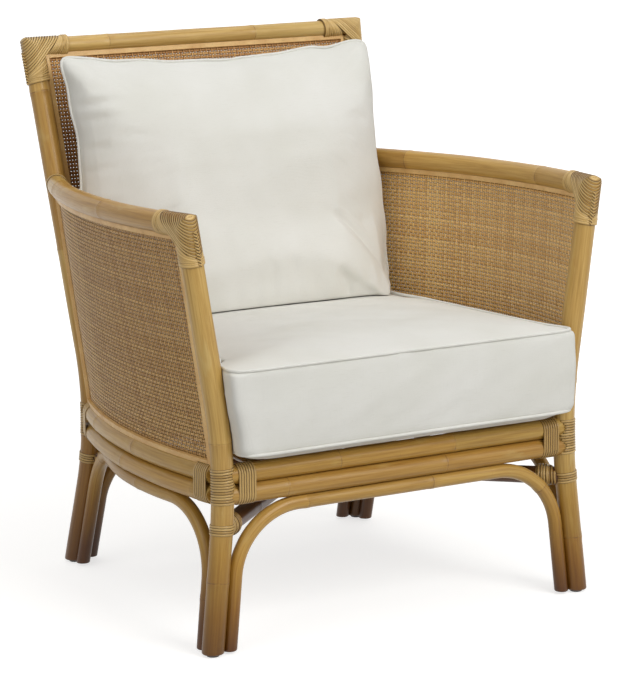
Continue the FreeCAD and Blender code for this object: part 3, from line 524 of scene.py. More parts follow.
feed(tree, result, {"Color": base, "Height": height,
                    "Roughness": between(tree, fibre, 0.2, 0.8, 0.30, 0.46)})
print("rattan skin group has", len(rattan_group.nodes), "nodes")

# %% The finish of the poles
def wear(tree, shader, group, inputs, bump, distance):
    """Place a group in a tree and link its colour, roughness and height to the shader."""
    outputs = add(tree, "ShaderNodeGroup", inputs, node_tree=group).outputs
    feed(tree, shader, {
        "Base Color": outputs["Color"], "Roughness": outputs["Roughness"],
        "Normal": relief(tree, outputs["Height"], bump, distance),
    })
    return outputs


skin_bump = (0.25, 0.0006)
lacquer = {"Coat_Roughness": 0.25, "Specular_IOR_Level": 0.35}
pole_finish, tree, shader = new_finish("rattan_pole_skin", Coat_Weight=0.10, **lacquer)
wear(tree, shader, rattan_group, {
    "Place": attribute(tree, "place"), "From Knot": attribute(tree, "from_knot", "Fac"),
    "Tone": attribute(tree, "tone", "Fac"), "Depth": attribute(tree, "depth", "Fac"),
}, *skin_bump)
print("pole finish ready")

# %% [markdown]
# ## Poles
#
# A pole is a circle carried along its line: the surface's two parameters are the
# distance along and the angle round. Its ends are not plain circles. A rail is coped,
# which means scooped out to fit a round post, and a corner is mitred. Boolean cuts
# would do it but leave ragged meshes, so each lengthwise line of the skin is simply
# started and stopped where it leaves the solid that cuts it.

# %% Carry a circle along a line
longest_cut, cut_steps = 0.075, 500


def frames(line, distance, reference):
    """The line's way, and two directions square to it: the first nearest a reference."""
    way = line.way(distance)
    first = unit(reference - way * (way @ reference)[..., None])
    return way, first, np.cross(way, first)


def around(line, distance, angle, radius, reference):
    """Points on a tube, centre + radius (cos angle first + sin angle second), and the
    directions in which they face."""
    _, first, second = frames(line, distance, reference)
    out = np.cos(angle)[..., None] * first + np.sin(angle)[..., None] * second
    return line.at(distance) + np.asarray(radius)[..., None] * out, out


def past_plane(point, normal):
    """A cutter: above nought beyond the plane."""
    return lambda spots: (spots - point) @ unit(normal)


def inside_pole(line, radius):
    """A cutter: above nought inside a pole, taken straight near the line's nearest point."""
    def cut(spots):
        nearest = np.argmin(np.linalg.norm(line.points - spots.mean((0, 1)), axis=1))
        way = line.way(line.along[nearest])
        return radius - np.linalg.norm(np.cross(spots - line.points[nearest], way), axis=-1)
    return cut


def end_cut(line, cutters, radius, angle, reference, from_start):
    """How far in from an end each lengthwise line of the skin clears every cutter."""
    probe = np.linspace(0, longest_cut, cut_steps)
    distance = probe if from_start else line.length - probe
    grid, turns = np.broadcast_arrays(distance[:, None], angle[None])
    spots, _ = around(line, grid, turns, np.full(grid.shape, radius), reference)
    cut = np.zeros(len(angle))
    for cutter in cutters:
        gone = cutter(spots) > 0
        last = len(probe) - 1 - np.argmax(gone[::-1], axis=0)
        cut = np.maximum(cut, np.where(gone.any(0), probe[last], 0.0))
    return cut

# %% Knots, rings and painted shade of a pole
shortest_step, longest_step = 0.17, 0.34
knots_apart, clear_end = 0.09, 0.02
# Painted shade: the second number is the most that a pole's skin is painted darker towards the
# floor.
ring_step, low_shade_share = 0.006, 0.80


def knot_places(line, seed, fixed=()):
    """Knots at uneven steps along a pole, and at any fixed places."""
    draw = np.random.default_rng(seed)
    steps = draw.uniform(shortest_step, longest_step, 12)
    places = np.cumsum(steps) - draw.uniform(0.02, 0.14)
    if len(fixed):
        apart = np.abs(places[:, None] - np.array(fixed)).min(1)
        places = np.sort(np.concatenate([places[apart > knots_apart], fixed]))
    return places[(places > clear_end) & (places < line.length - clear_end)]


def set_values(mesh, name, kind, values):
    """Store one value for each point of a mesh."""
    layer = mesh.attributes.new(name, kind, "POINT")
    field = "vector" if kind == "FLOAT_VECTOR" else "value"
    layer.data.foreach_set(field, np.ascontiguousarray(values, np.float32).ravel())


def declared(item, finish, body, nodes):
    """Give a piece its finish and body, and hide the CAD nodes that it replaces."""
    item.data.materials.append(finish)
    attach(item, body)
    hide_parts(*nodes)


def painted_shade(spots, base, below):
    """How much painted shade darkens a pole's skin: its own share, and more below a height."""
    return np.clip(base + low_shade_share * np.clip(1 - spots[..., 2] / below, 0, 1), 0, 1)


def pole_rings(line, knots):
    """Where the rings of a pole's mesh lie: evenly, and closer at knots and ends."""
    offsets = np.array([-8, -5, -3, -1.8, -1, -0.5, 0, 0.5, 1, 1.8, 3, 5, 8]) / 1000
    rim = np.array([0, 0.2, 0.5, 0.9, 1.5, 2.5]) / 1000
    even = np.linspace(0, line.length, int(line.length / ring_step))
    base = np.concatenate([even, (knots[:, None] + offsets).ravel(), rim, line.length - rim])
    return np.unique(np.round(base[(base >= 0) & (base <= line.length)], 5))

# %% A pole with its knots
# A slanted end draws in the skin over the last stretch, fade, so its squares stay even.
knot_swell, knot_groove, swell_half, groove_half = 0.0006, 0.0004, 0.0055, 0.0007
pole_columns, slow_wave = 36, 0.00025
fade, rim_r, crisp = 0.09, 0.0025, 38
made_poles = []


def pole(node, line, radius, reference, start=(), end=(), seed=1, fixed=(), feet=(False, False),
         dark=0.0, shade_below=0.22):
    """A rattan pole. Its radius is even but for slow waves of a quarter millimetre, a
    half-millimetre swelling at each knot with a fine groove, and a rounded rim at a foot."""
    angle = np.linspace(0, math.tau, pole_columns, endpoint=False)
    knots = knot_places(line, seed, fixed)
    base = pole_rings(line, knots)
    to_end = line.length - base
    first = end_cut(line, start, radius, angle, reference, True)
    last = end_cut(line, end, radius, angle, reference, False)
    distance = (base[:, None] + first * np.clip(1 - base / fade, 0, 1)[:, None]
                - last * np.clip(1 - to_end / fade, 0, 1)[:, None])
    tilt = np.random.default_rng(seed + 900).uniform(-1, 1, (3, len(knots)))
    wobble = (0.0014 * tilt[0] * np.cos(angle[:, None] + 3 * tilt[1])
              + 0.0005 * np.sin(3 * angle[:, None] + 5 * tilt[2]))
    from_knot = distance[..., None] - knots - wobble
    nearest = np.abs(from_knot).argmin(-1)
    from_knot = np.take_along_axis(from_knot, nearest[..., None], -1)[..., 0]
    wave = slow_wave * np.sin(distance * 21 + seed) * np.sin(distance * 9.0 + 2 * seed)
    knot = (knot_swell * np.exp(-(from_knot / swell_half) ** 2)
            - knot_groove * np.exp(-(from_knot / groove_half) ** 2))
    size = radius + wave + knot
    for rounded, reach in zip(feet, (base, to_end)):
        if rounded:
            share = np.clip(1 - reach / rim_r, 0, 1)[:, None]
            size = size - rim_r * (1 - np.sqrt(1 - share ** 2))
    turns = np.broadcast_to(angle, distance.shape)
    spots, _ = around(line, distance, turns, size, reference)
    rows, columns = distance.shape
    ends = np.stack([spots[0].mean(0), spots[-1].mean(0)])
    points = np.concatenate([spots.reshape(-1, 3), ends])
    final = (rows - 1) * columns
    caps = [[rows * columns, (k + 1) % columns, k] for k in range(columns)]
    caps += [[rows * columns + 1, final + k, final + (k + 1) % columns] for k in range(columns)]
    item = new_object("skin_" + node, points, tube_faces(rows, columns).tolist() + caps, crisp)
    place = np.stack([radius * np.cos(turns), radius * np.sin(turns), distance + 3.7 * seed], -1)
    stretch = np.random.default_rng(seed + 500).uniform(0, 1, len(knots) + 1)
    tone = stretch[np.searchsorted(knots, distance)]
    set_values(item.data, "place", "FLOAT_VECTOR",
               np.concatenate([place.reshape(-1, 3), place[[0, -1], 0]]))
    set_values(item.data, "from_knot", "FLOAT", np.append(from_knot, [0.05, 0.05]))
    set_values(item.data, "tone", "FLOAT", np.append(tone, [0.3, 0.3]))
    # Painted shade: the depth value darkens the skin by the pole's own share, and more towards
    # the floor.
    set_values(item.data, "depth", "FLOAT", painted_shade(points, dark, shade_below))
    declared(item, pole_finish, "frame", [node])
    made_poles.append(item)


def extended(line, before, after=0.0):
    """The line with straight runs added at its ends."""
    points = np.vstack([line.points[0] - line.way(0.0) * before, line.points])
    if after:
        points = np.vstack([points, points[-1] + line.way(line.length) * after])
    return Line(points)

# %% [markdown]
# ### Corners of the frame
#
# At the front the post meets the arm, at the back it meets the top rail, and both
# corners are mitred and sawn off at the tip. Each corner knows the way into it, the way
# out, and the planes between them.

# %% Make posts, arms and the top rail
sawn_at = 0.0185


class Corner:
    """A mitred corner between a rising leg and a level one."""

    def __init__(self, point, into, out):
        self.point, self.into, self.out = point, unit(into), unit(out)
        self.mitre = unit(self.into + self.out)
        self.diagonal = unit(self.into - self.out)
        self.side_on = unit(np.cross(self.into, self.out))
        self.sawn = past_plane(point + self.diagonal * sawn_at, self.diagonal)


arm_corner, back_corner = {}, {}
for side, s in sides.items():
    front, rear = post_corners(side)
    arm_corner[side] = Corner(front[2], front[2] - front[1], arm_line[side].way(0.0))
    back_corner[side] = Corner(rear[2], rear[2] - rear[1], np.array([-s, 0.0, 0.0]))

along_x, along_y, along_z = np.eye(3)
floor_cut = past_plane(np.array([0, 0, 0.004]), -along_z)
# Painted shade: posts and arms are painted a little darker, and the rear posts more so up to half
# a metre above the floor.
for side, s in sides.items():
    seed = 3 if side == "left" else 11
    corner = arm_corner[side]
    pole(f"front_post_{side}", front_line[side], post_r, along_x, [floor_cut],
         [past_plane(corner.point, corner.mitre), corner.sawn], seed, feet=(True, False),
         dark=0.12)
    pole(f"arm_rail_{side}", extended(arm_line[side], before=past_top), arm_r, along_z,
         [past_plane(corner.point, -corner.mitre), corner.sawn],
         [inside_pole(rear_line[side], post_r)], seed + 1, dark=0.15)
    corner = back_corner[side]
    pole(f"rear_post_{side}", rear_line[side], post_r, along_x, [floor_cut],
         [past_plane(corner.point, corner.mitre), corner.sawn], seed + 2, feet=(True, False),
         dark=0.12, shade_below=0.50)
top_cuts = [[past_plane(corner.point, -corner.mitre), corner.sawn]
            for corner in back_corner.values()]
pole("top_rail", extended(top_line, past_top, past_top), top_rail_r, along_z, *top_cuts, seed=21)
print(len(made_poles), "poles")

# %% Make the rails, arches and braces
seen_knots = {("front", "upper"): (0.196,), ("front", "lower"): (0.386,)}
# Painted shade: the seat rails under the cushion and the braces low under the seat are painted
# darker.
rail_shade, side_rail_shade, brace_shade = {"upper": 0.33, "lower": 0.24}, 0.3, 0.95
for end in post_of:
    for level_name in rail_heights:
        cuts = [[inside_pole(post_of[end][side], post_r)] for side in sides]
        pole(f"{end}_rail_{level_name}", rail_line[end, level_name], seat_rail_r, along_z, *cuts,
             seed=31 + 2 * (end == "rear") + (level_name == "lower"),
             fixed=seen_knots.get((end, level_name), ()), dark=rail_shade[level_name])
for side in sides:
    for level_name in rail_heights:
        cuts = [[inside_pole(post_of[end][side], post_r),
                 inside_pole(rail_line[end, level_name], seat_rail_r)] for end in post_of]
        pole(f"side_rail_{level_name}_{side}", rail_line[side, level_name], seat_rail_r, along_z,
             *cuts, seed=41 + 2 * (side == "left") + (level_name == "lower"), dark=side_rail_shade)
# Painted shade: the arches near the floor are painted darker, the rear and side arches more than
# the front one.
for number, name in enumerate((*post_of, *sides)):
    node, across = (f"side_arch_{name}", along_x) if name in sides else (f"{name}_arch", along_y)
    pole(node, arch_line[name], arch_r, across, [floor_cut], [floor_cut], seed=51 + number,
         feet=(True, True), dark=0.22 if name == "front" else 0.38, shade_below=0.16)
brace_runs = {
    "cross_brace_long": (long_brace, (front_line["left"], post_r), (rear_line["right"], post_r)),
    "cross_brace_short_front": (short_brace["front"], (front_line["right"], post_r),
                                (long_brace, brace_r)),
    "cross_brace_short_rear": (short_brace["rear"], (rear_line["left"], post_r),
                               (long_brace, brace_r)),
}
for number, (node, (line, *stops)) in enumerate(brace_runs.items()):
    pole(node, line, brace_r, along_z, *[[inside_pole(*stop)] for stop in stops],
         seed=61 + number, dark=brace_shade)
print(len(made_poles), "poles,", sum(len(p.data.polygons) for p in made_poles), "faces")

# %% [markdown]
# ## Strips of peel
#
# Lashings are flat strips of rattan skin wound tightly round the joints, polished side
# out. A curve with a bevel makes round wire, so here a strip is a flat section, domed on
# its outer side, carried along a path that also knows which way is out. Many strips are
# gathered into one piece, and each carries its own number, so that tones can differ.

# %% Gather strips into one piece
class Strips:
    """Flat strips with a domed outer side, gathered into one mesh."""

    domed = np.array([(-0.5, -0.15), (-0.44, 0.45), (-0.2, 0.85), (0.2, 0.85), (0.44, 0.45),
                      (0.5, -0.15)])
    lens = np.array([(-0.5, 0.0), (0.0, 0.5), (0.5, 0.0), (0.0, -0.5)])

    def __init__(self, width=0.0042, depth=0.0017, section=domed):
        self.section, self.width, self.depth = section, width, depth
        self.points, self.faces, self.place, self.count, self.number = [], [], [], 0, 0

    def add(self, path, out, closed=False, width=None):
        """One strip: point + across * width * a + out * depth * b for the section's (a, b).
        Across is the path's way crossed with out."""
        after, before = np.roll(path, -1, 0), np.roll(path, 1, 0)
        if not closed:
            after[-1], before[0] = path[-1], path[0]
        across = unit(np.cross(unit(after - before), out))
        a, b = self.section.T
        wide = self.width if width is None else width
        spots = (path[:, None] + across[:, None] * (wide * a)[:, None]
                 + out[:, None] * (self.depth * b)[:, None])
        rows, columns = spots.shape[:2]
        faces = tube_faces(rows, columns, closed).tolist()
        if not closed:
            faces += [list(range(columns))[::-1],
                      list(range((rows - 1) * columns, rows * columns))]
        self.faces += [[corner + self.count for corner in face] for face in faces]
        along = np.cumsum(np.linalg.norm(after - path, axis=1))
        place = np.stack(np.broadcast_arrays(along[:, None], 2 * a, float(self.number)), -1)
        self.points.append(spots.reshape(-1, 3))
        self.place.append(place.reshape(-1, 3))
        self.count += rows * columns
        self.number += 1

    def make(self, name, node, finish=None, slot="rattan_peel"):
        """The gathered strips as one piece on the frame."""
        item = new_object(name, np.concatenate(self.points), self.faces)
        set_values(item.data, "strip", "FLOAT_VECTOR", np.concatenate(self.place))
        declared(item, finish or lashing_finish, "frame", [node])
        print(name, self.number, "strips,", len(item.data.polygons), "faces")


def kept_runs(keep):
    """The runs of neighbouring numbers at which keep is true."""
    edges = np.flatnonzero(np.diff(np.concatenate([[0], keep.astype(int), [0]])))
    return [slice(a, b) for a, b in edges.reshape(-1, 2) if b - a > 3]


def clear_of(spots, lines, radius):
    """True where a spot is further than radius from every one of the lines."""
    clear = np.ones(len(spots), bool)
    for line in lines:
        for part in range(0, len(spots), 4000):
            chunk = spots[part:part + 4000]
            far = np.linalg.norm(chunk[:, None] - line.points[None], axis=2).min(1) > radius
            clear[part:part + 4000] &= far
    return clear

# %% A node group for split peel and cane
peel_group, given, result = new_group(
    "split_peel",
    [("Strip", "Vector"), ("Light", "Color"), ("Dark", "Color"), ("Shade", "Color")],
    [("Color", "Color"), ("Roughness", "Float"), ("Height", "Float")],
)
tree = peel_group
parts = separated(tree, given["Strip"])
own = add(tree, "ShaderNodeTexWhiteNoise", {"W": parts["Z"]}, noise_dimensions="1D").outputs[0]
shifted = combined(tree, *[math_node(tree, "MULTIPLY", parts[axis], scale)
                           for axis, scale in zip("XYZ", (60.0, 2.2, 7.3))])
grain = noise(tree, shifted, 1.0, 3.0, 0.6)
base = mixed(tree, between(tree, own, 0.0, 1.0), given["Dark"], given["Light"])
base = mixed(tree, between(tree, grain, 0.40, 0.72, 0.0, 0.55), base, given["Dark"])
# Painted shade: each strip's edges turn towards the Shade colour, as if shaded in the crevices
# between strips.
edge = between(tree, math_node(tree, "ABSOLUTE", parts["Y"]), 0.52, 1.0, 0.0, 0.92)
base = mixed(tree, edge, base, given["Shade"])
feed(tree, result, {"Color": base, "Height": grain,
                    "Roughness": between(tree, grain, 0.2, 0.8, 0.30, 0.45)})


def peel_finish(name, light, dark, shade, coat, shade_heights=None):
    """A finish of split peel in a light and a dark colour of its own, with painted shade in a
    third colour along the edges of its strips. If asked, painted shade also falls on it
    from the second of two heights down to the first."""
    material, tree, shader = new_finish(name, Coat_Weight=coat, **lacquer)
    outputs = wear(tree, shader, peel_group, {
        "Strip": attribute(tree, "strip"), "Light": linear(*light), "Dark": linear(*dark),
        "Shade": linear(*shade),
    }, 0.2, 0.0003)
    # Painted shade: lower down, the colour is multiplied darker.
    if shade_heights:
        up = separated(tree, object_place(tree))["Z"]
        shadow = ramped(tree, between(tree, up, *shade_heights), [
            (0.0, linear(196, 182, 170)), (1.0, linear(255, 255, 255)),
        ])
        feed(tree, shader, {"Base Color": mixed(tree, 1.0, outputs["Color"], shadow, "MULTIPLY")})
    return material


lashing_coat, cane_coat = 0.2, 0.05
lashing_finish = peel_finish("rattan_peel", (204, 171, 108), (168, 133, 72), (76, 52, 24),
                             lashing_coat)
corner_finish = peel_finish("rattan_peel_pale", (222, 190, 126), (188, 152, 86), (92, 64, 30),
                            lashing_coat)
# Painted light and shade: the left panel's cane is painted darker, as if shaded, and the right
# panel's lighter, as if lit; the back panel's cane gets painted shade towards its bottom.
cane_finish = {
    "left": peel_finish("woven_cane_strand_left_shaded", (224, 182, 114), (184, 138, 78), (50, 30, 14),
                        cane_coat),
    "right": peel_finish("woven_cane_strand_right_lit", (255, 216, 142), (222, 172, 102),
                         (60, 36, 16), cane_coat),
    "back": peel_finish("woven_cane_strand_back_shaded", (230, 182, 114), (190, 138, 80), (84, 50, 26),
                        cane_coat, shade_heights=(0.69, 0.82)),
}
print("peel group has", len(peel_group.nodes), "nodes")

# %% [markdown]
# ### Round one pole
#
# The lashing of a post is a helix. Where rails run into the post the peel goes under
# them, so the helix is cut into runs that stay outside the rails.

# %% Wind the posts, the braces and the arm ends
tuck = 0.0003


def wind(strips, line, start, turns, pitch, radius, reference, away=(), first_angle=0.0):
    """A helix: angle 2 pi t and distance start + pitch t, for t up to the turns."""
    t = np.linspace(0, turns, int(turns * 44))
    spots, out = around(line, start + pitch * t, math.tau * t + first_angle,
                        np.full(len(t), radius), reference)
    keep = np.ones(len(t), bool)
    for others, size in away:
        keep &= clear_of(spots, others, size)
    for run in kept_runs(keep):
        strips.add(spots[run], out[run])


seat_middle = (rail_heights["upper"] + rail_heights["lower"]) / 2
for end, lines in post_of.items():
    strips = Strips()
    for side, post in lines.items():
        rails = [rail_line[key, level_name] for key in (end, side) for level_name in rail_heights]
        wind(strips, post, post.at_height(seat_middle - 0.0262), 13, 0.0042, post_r, along_x,
             [(rails, seat_rail_r - tuck)], first_angle=2.1)
    strips.make(f"{end}_post_windings", f"{end}_post_lashings")

braces_at = {("front", "left"): long_brace, ("rear", "right"): long_brace.reversed(),
             ("front", "right"): short_brace["front"], ("rear", "left"): short_brace["rear"]}
brace_layers = ((0.012, 7), (0.024, 4.5), (0.0325, 2.2))
strips, brace_strips = Strips(), Strips()
for (end, side), brace in braces_at.items():
    post = post_of[end][side]
    arches = ([arch_line[end], arch_line[side]], arch_r - tuck)
    wind(strips, post, post.at_height(brace_height - 0.0075), 4, 0.0040, post_r, along_x,
         [([brace], brace_r - tuck), arches], first_angle=0.7)
    for layer, (first_ring, turns) in enumerate(brace_layers):
        wind(brace_strips, brace, first_ring, turns, 0.0048, brace_r + 0.0014 * layer, along_z,
             [([post], post_r + 0.0012), arches])
strips.make("brace_post_windings", "brace_post_lashings")
brace_strips.make("brace_end_windings", "brace_end_lashings")
strips = Strips()
for brace in short_brace.values():
    wind(strips, brace, brace.length - brace_r - 0.020, 4.6, 0.0044, brace_r, along_z,
         [([long_brace], brace_r - tuck)])
strips.make("brace_crossing_windings", "brace_crossing_lashing")
for side, arm in arm_line.items():
    strips = Strips()
    wind(strips, arm, arm.length - post_r - 0.0135, 3.4, 0.0041, arm_r, along_z,
         [([rear_line[side]], post_r - tuck)])
    strips.make(f"arm_collar_windings_{side}", f"arm_collar_{side}")

# %% [markdown]
# ### Round a pair of rails
#
# At each end the two seat rails are bound together. A taut strip round two rods follows
# half of each and runs straight between them.

# %% Bind the rail ends
def step(value, low, high):
    """Nought below low, one above high, smooth between."""
    share = np.clip((value - low) / (high - low), 0, 1)
    return share * share * (3 - 2 * share)


def round_pair(share, radius, half_apart):
    """The outline round two rods, one above the other, at shares of its length from 0 to
    1: places (out, up) and the way they face."""
    angle = np.linspace(-math.pi / 2, 1.5 * math.pi, 145)
    face = np.stack([np.cos(angle), np.sin(angle)], -1)
    lifted = np.where((angle > 0) & (angle < math.pi), half_apart, -half_apart)
    ring = face * radius + np.stack([np.zeros_like(angle), lifted], -1)
    run = run_length(ring)
    return looked_up(share * run[-1], run, ring), unit(looked_up(share * run[-1], run, face))


def bind(strips, rail, flipped, turns=7, pitch=0.0042):
    """A winding round two rails at their start, or at their end if flipped. Each turn lies
    square to them, and steps on by one pitch over its last 0.3, on the hidden side."""
    pair = [rail_line[rail, level_name] for level_name in rail_heights]
    upper, lower = [line.reversed() if flipped else line for line in pair]
    middle = Line((upper.at(np.linspace(0, upper.length, 160))
                   + lower.at(np.linspace(0, lower.length, 160))) / 2)
    half_apart = (rail_heights["upper"] - rail_heights["lower"]) / 2
    t = np.linspace(0, turns, int(turns * 72))
    distance = post_r + 0.0047 + pitch * (np.floor(t) + step(t % 1.0, 0.7, 1.0))
    place, facing = round_pair(t % 1.0, seat_rail_r, half_apart)
    way, up, _ = frames(middle, distance, along_z)
    out = np.cross(up, way)
    out = out * np.where((out * middle.at(distance)).sum(-1) < 0, -1, 1)[:, None]
    spots = middle.at(distance) + out * place[:, :1] + up * place[:, 1:]
    strips.add(spots, unit(out * facing[:, :1] + up * facing[:, 1:]))


for end in post_of:
    strips = Strips()
    for flipped in (False, True):
        bind(strips, end, flipped)
    strips.make(f"{end}_rail_windings", f"{end}_rail_lashings")
for end in post_of:
    strips = Strips()
    for side in sides:
        bind(strips, side, end == "rear")
    strips.make(f"side_rail_windings_{end}", f"side_rail_{end}_lashings")

# %% [markdown]
# ### Round a corner
#
# At a corner the binder starts with turns that pass diagonally over the tip, then fans
# out along both legs, and ends each leg with a few square turns on top. A taut turn over
# the tip is the tight outline round the slanting cut through both legs: the cut is found
# first, and a string is then pulled round it. Down the outer edge of the post, the turns
# are hitched to each other, which shows as a plaited ridge.

# %% Turns over a corner's tip and round its legs
tip_width = 0.0029


def tight_round(outline, count=56):
    """The string pulled tight round a flat outline: for every direction, the outline's
    furthest point that way, spread evenly along the string."""
    turn = np.linspace(0, math.tau, 361)
    ways = np.stack([np.cos(turn), np.sin(turn)], -1)
    string = outline[np.argmax(outline @ ways.T, axis=0)]
    run = run_length(string)
    share = np.linspace(0, run[-1], count, endpoint=False)
    run = run + np.arange(len(run)) * 1e-9
    return looked_up(share, run, string), unit(looked_up(share, run, ways))


def diagonal_turn(strips, corner, radii, offset, shrink=1.0):
    """A turn over the tip, in the plane at this offset along the corner's diagonal. On the
    sawn tip itself the turns close in as smaller rings."""
    angle = np.linspace(0, math.tau, 241)
    cos, sin = np.cos(angle), np.sin(angle)
    rims = []
    for way, radius in ((corner.into, radii[0]), (corner.out, radii[1])):
        slant = way @ corner.diagonal
        centre = offset * (way @ corner.mitre) / slant
        long_axis = radius / abs(slant)
        a = (cos / long_axis) ** 2 + (sin / radius) ** 2
        b = centre * cos / long_axis ** 2
        c = (centre / long_axis) ** 2 - 1
        rims.append((b + np.sqrt(np.maximum(b * b - a * c, 0))) / a)
    rim = np.where(cos < 0, rims[0], rims[1])
    outline = np.stack([rim * cos, rim * sin], -1)
    place, facing = tight_round(outline)
    flat = np.stack([corner.mitre, corner.side_on])
    place, facing = shrink * place @ flat, facing @ flat
    width = None
    if shrink < 1:
        facing, width = unit(facing + 1.4 * corner.diagonal), tip_width
    strips.add(corner.point + corner.diagonal * offset + place, facing, closed=True, width=width)


def leg_turn(strips, leg, corner, radius, outer, inner, lift, points=48):
    """A turn round one leg that passes its outer edge at one distance from the corner and
    its inner edge at another, with a bend at the outer edge."""
    angle = np.linspace(0, math.tau, points, endpoint=False)
    signed = np.abs((angle + math.pi) % math.tau - math.pi)
    swing = 0.45 * np.cos(angle) + 0.55 * (1 - 2 * signed / math.pi)
    distance = (outer + inner) / 2 + (outer - inner) / 2 * swing
    spots, out = around(leg, distance, angle, np.full(points, radius + lift), corner.diagonal)
    strips.add(spots, out, closed=True)

# %% Bind the corners
corner_width, plait_width, over_width = 0.0038, 0.0030, 0.0019
leg_reach = 0.09


def plait(strips, path, out, pitch=0.0095):
    """Two strips that turn round each other along a path: sideways by cos, out by sin."""
    run = Line(path)
    distance = np.linspace(0, run.length, int(run.length / 0.0009))
    facing = unit(looked_up(distance, run.along, out))
    across = unit(np.cross(run.way(distance), facing))
    for phase in (0.0, math.pi):
        turn = math.tau * distance / pitch + phase
        spot_out = np.cos(turn)[:, None] * across + 0.7 * np.sin(turn)[:, None] * facing
        strips.add(run.at(distance) + over_width * spot_out, unit(spot_out + facing * 0.4),
                   width=plait_width)


def bind_corner(name, corner, legs, radii, node):
    """All the turns of one corner: rings on the sawn tip, turns over it, fans and square
    turns on both legs, and the plait."""
    strips = Strips(corner_width)
    for shrink in (0.10, 0.28, 0.46, 0.64, 0.82):
        diagonal_turn(strips, corner, radii, 0.0194 - 0.0012 * shrink, shrink=shrink)
    crotch = (radii[0] + radii[1]) / 2 * math.sqrt(2) - 0.0012
    for offset in np.linspace(0.0170, -crotch, 12):
        diagonal_turn(strips, corner, radii, offset)
    for leg, own, other in zip(legs, radii, radii[::-1]):
        outer, inner = np.linspace(0.0500, 0.0578, 9), np.linspace(other + 0.0022, 0.0545, 9)
        for turn in range(9):
            leg_turn(strips, leg, corner, own, outer[turn], inner[turn], 0.0001 * turn)
        for turn in range(3):
            leg_turn(strips, leg, corner, own, 0.0520 + 0.0034 * turn, 0.0478 + 0.0040 * turn,
                     0.0010)
    distance = np.linspace(0.060, 0.008, 40)
    edge, out = around(legs[0], distance, np.zeros(40), np.full(40, radii[0] + 0.0017),
                       corner.diagonal)
    plait(strips, edge, out)
    strips.make(name, node, corner_finish)


for side in sides:
    for place, corner, radius in (("arm", arm_corner[side], arm_r),
                                  ("back", back_corner[side], top_rail_r + 0.0012)):
        post, rail = [straight(corner.point, corner.point + way * leg_reach)
                      for way in (-corner.into, corner.out)]
        bind_corner(f"{place}_corner_windings_{side}", corner,
                    (post, arm_line[side] if place == "arm" else rail), (post_r, radius),
                    f"{place}_corner_lashing_{side}")

# %% [markdown]
# ## Woven cane
#
# The panels under the arms and in the back are a close plain weave of narrow cane: each
# strand goes over one and under the next. A bump map cannot show the small dark holes
# between strands, so every strand is a real strip, and light comes through the holes.
# The strands bow from one face of the sheet to the other, as over and under.

# %% Weave the panels
column_pitch, row_pitch = 0.0053, 0.0060
warp_width, weft_width, strand_depth, swing = 0.0037, 0.0043, 0.0009, 0.0007
side_close, back_close, pole_gap = 1.24, 1.16, 0.0030


class Panel:
    """A sheet ruled between a lower and an upper edge. A spot on it has a distance x
    from the sheet's middle line, and a share v of the way up."""

    def __init__(self, lower, upper):
        self.lower, self.upper = lower, upper
        self.height = np.linalg.norm(upper.at(upper.length / 2) - lower.at(lower.length / 2))
        self.width = max(lower.length, upper.length)

    def at(self, x, v):
        length = self.lower.length * (1 - v) + self.upper.length * v
        share = x / length + 0.5
        low = self.lower.at(share * self.lower.length)
        high = self.upper.at(share * self.upper.length)
        return low * (1 - v)[:, None] + high * v[:, None], np.abs(share - 0.5) < 0.5

    def facing(self, x, v):
        """The way the sheet faces: one edge's way crossed with the other's."""
        near = 0.002
        across = self.at(x + near, v)[0] - self.at(x - near, v)[0]
        up = self.at(x, np.minimum(v + near, 1))[0] - self.at(x, np.maximum(v - near, 0))[0]
        return unit(np.cross(across, up) + 1e-12)


def weave(name, panel, poles, node, finish, close):
    """Warp strands run up at every column and weft strands across at every row. Where
    column i and row j cross, the warp stands out by swing cos(pi (i + j)) and the weft
    stands out by as much the other way."""
    columns = int(panel.width / 2 / column_pitch)
    rows = int(panel.height / row_pitch)
    for kind, width, numbers, cross, sign in (
        ("warp", warp_width, range(-columns, columns + 1), np.arange(0, rows + 0.01, 0.5), 1),
        ("weft", weft_width, range(1, rows), np.arange(-columns, columns + 0.01, 0.5), -1),
    ):
        strips = Strips(width * close, strand_depth, Strips.lens)
        for number in numbers:
            own = np.full(len(cross), number)
            column, row = (own, cross) if kind == "warp" else (cross, own)
            x, v = column * column_pitch, np.minimum(row * row_pitch / panel.height, 1.0)
            spots, inside = panel.at(x, v)
            out = panel.facing(x, v)
            lift = swing * np.cos(math.pi * (cross + number)) * sign
            for line, radius in poles:
                inside &= clear_of(spots, [line], radius + pole_gap)
            for run in kept_runs(inside):
                strips.add(spots[run] + out[run] * lift[run][:, None], out[run])
        strips.make(f"{name}_{kind}", node, finish, "woven_cane")


for side in sides:
    poles = [(front_line[side], post_r), (rear_line[side], post_r), (arm_line[side], arm_r),
             (rail_line[side, "upper"], seat_rail_r)]
    weave(f"side_weave_{side}", Panel(rail_line[side, "upper"], arm_line[side]), poles,
          f"side_cane_{side}", cane_finish[side], side_close)
low_ends = [rear_line[side].spot_at(rail_heights["upper"]) - [0, 0.006, 0] for side in sides]
poles = [(rear_line[side], post_r) for side in sides]
poles += [(top_line, top_rail_r), (rail_line["rear", "upper"], seat_rail_r)]
weave("back_weave", Panel(straight(*low_ends), top_line), poles, "back_cane",
      cane_finish["back"], back_close)

# %% [markdown]
# ## Cushions
#
# The seat cushion is a foam block in a cotton cover with a welt, a piped cord, in its
# upper and its lower seam. The back cushion is a softer pad with one welt round its
# edge. Cloth simulation with inner pressure rounds the panels between seams as filling
# does. The seams are held while the panels swell, so the result is a sewn cushion and
# not a balloon. Where the swollen cloth would enter a post, it is pushed back, as the
# real cushion is dented there.

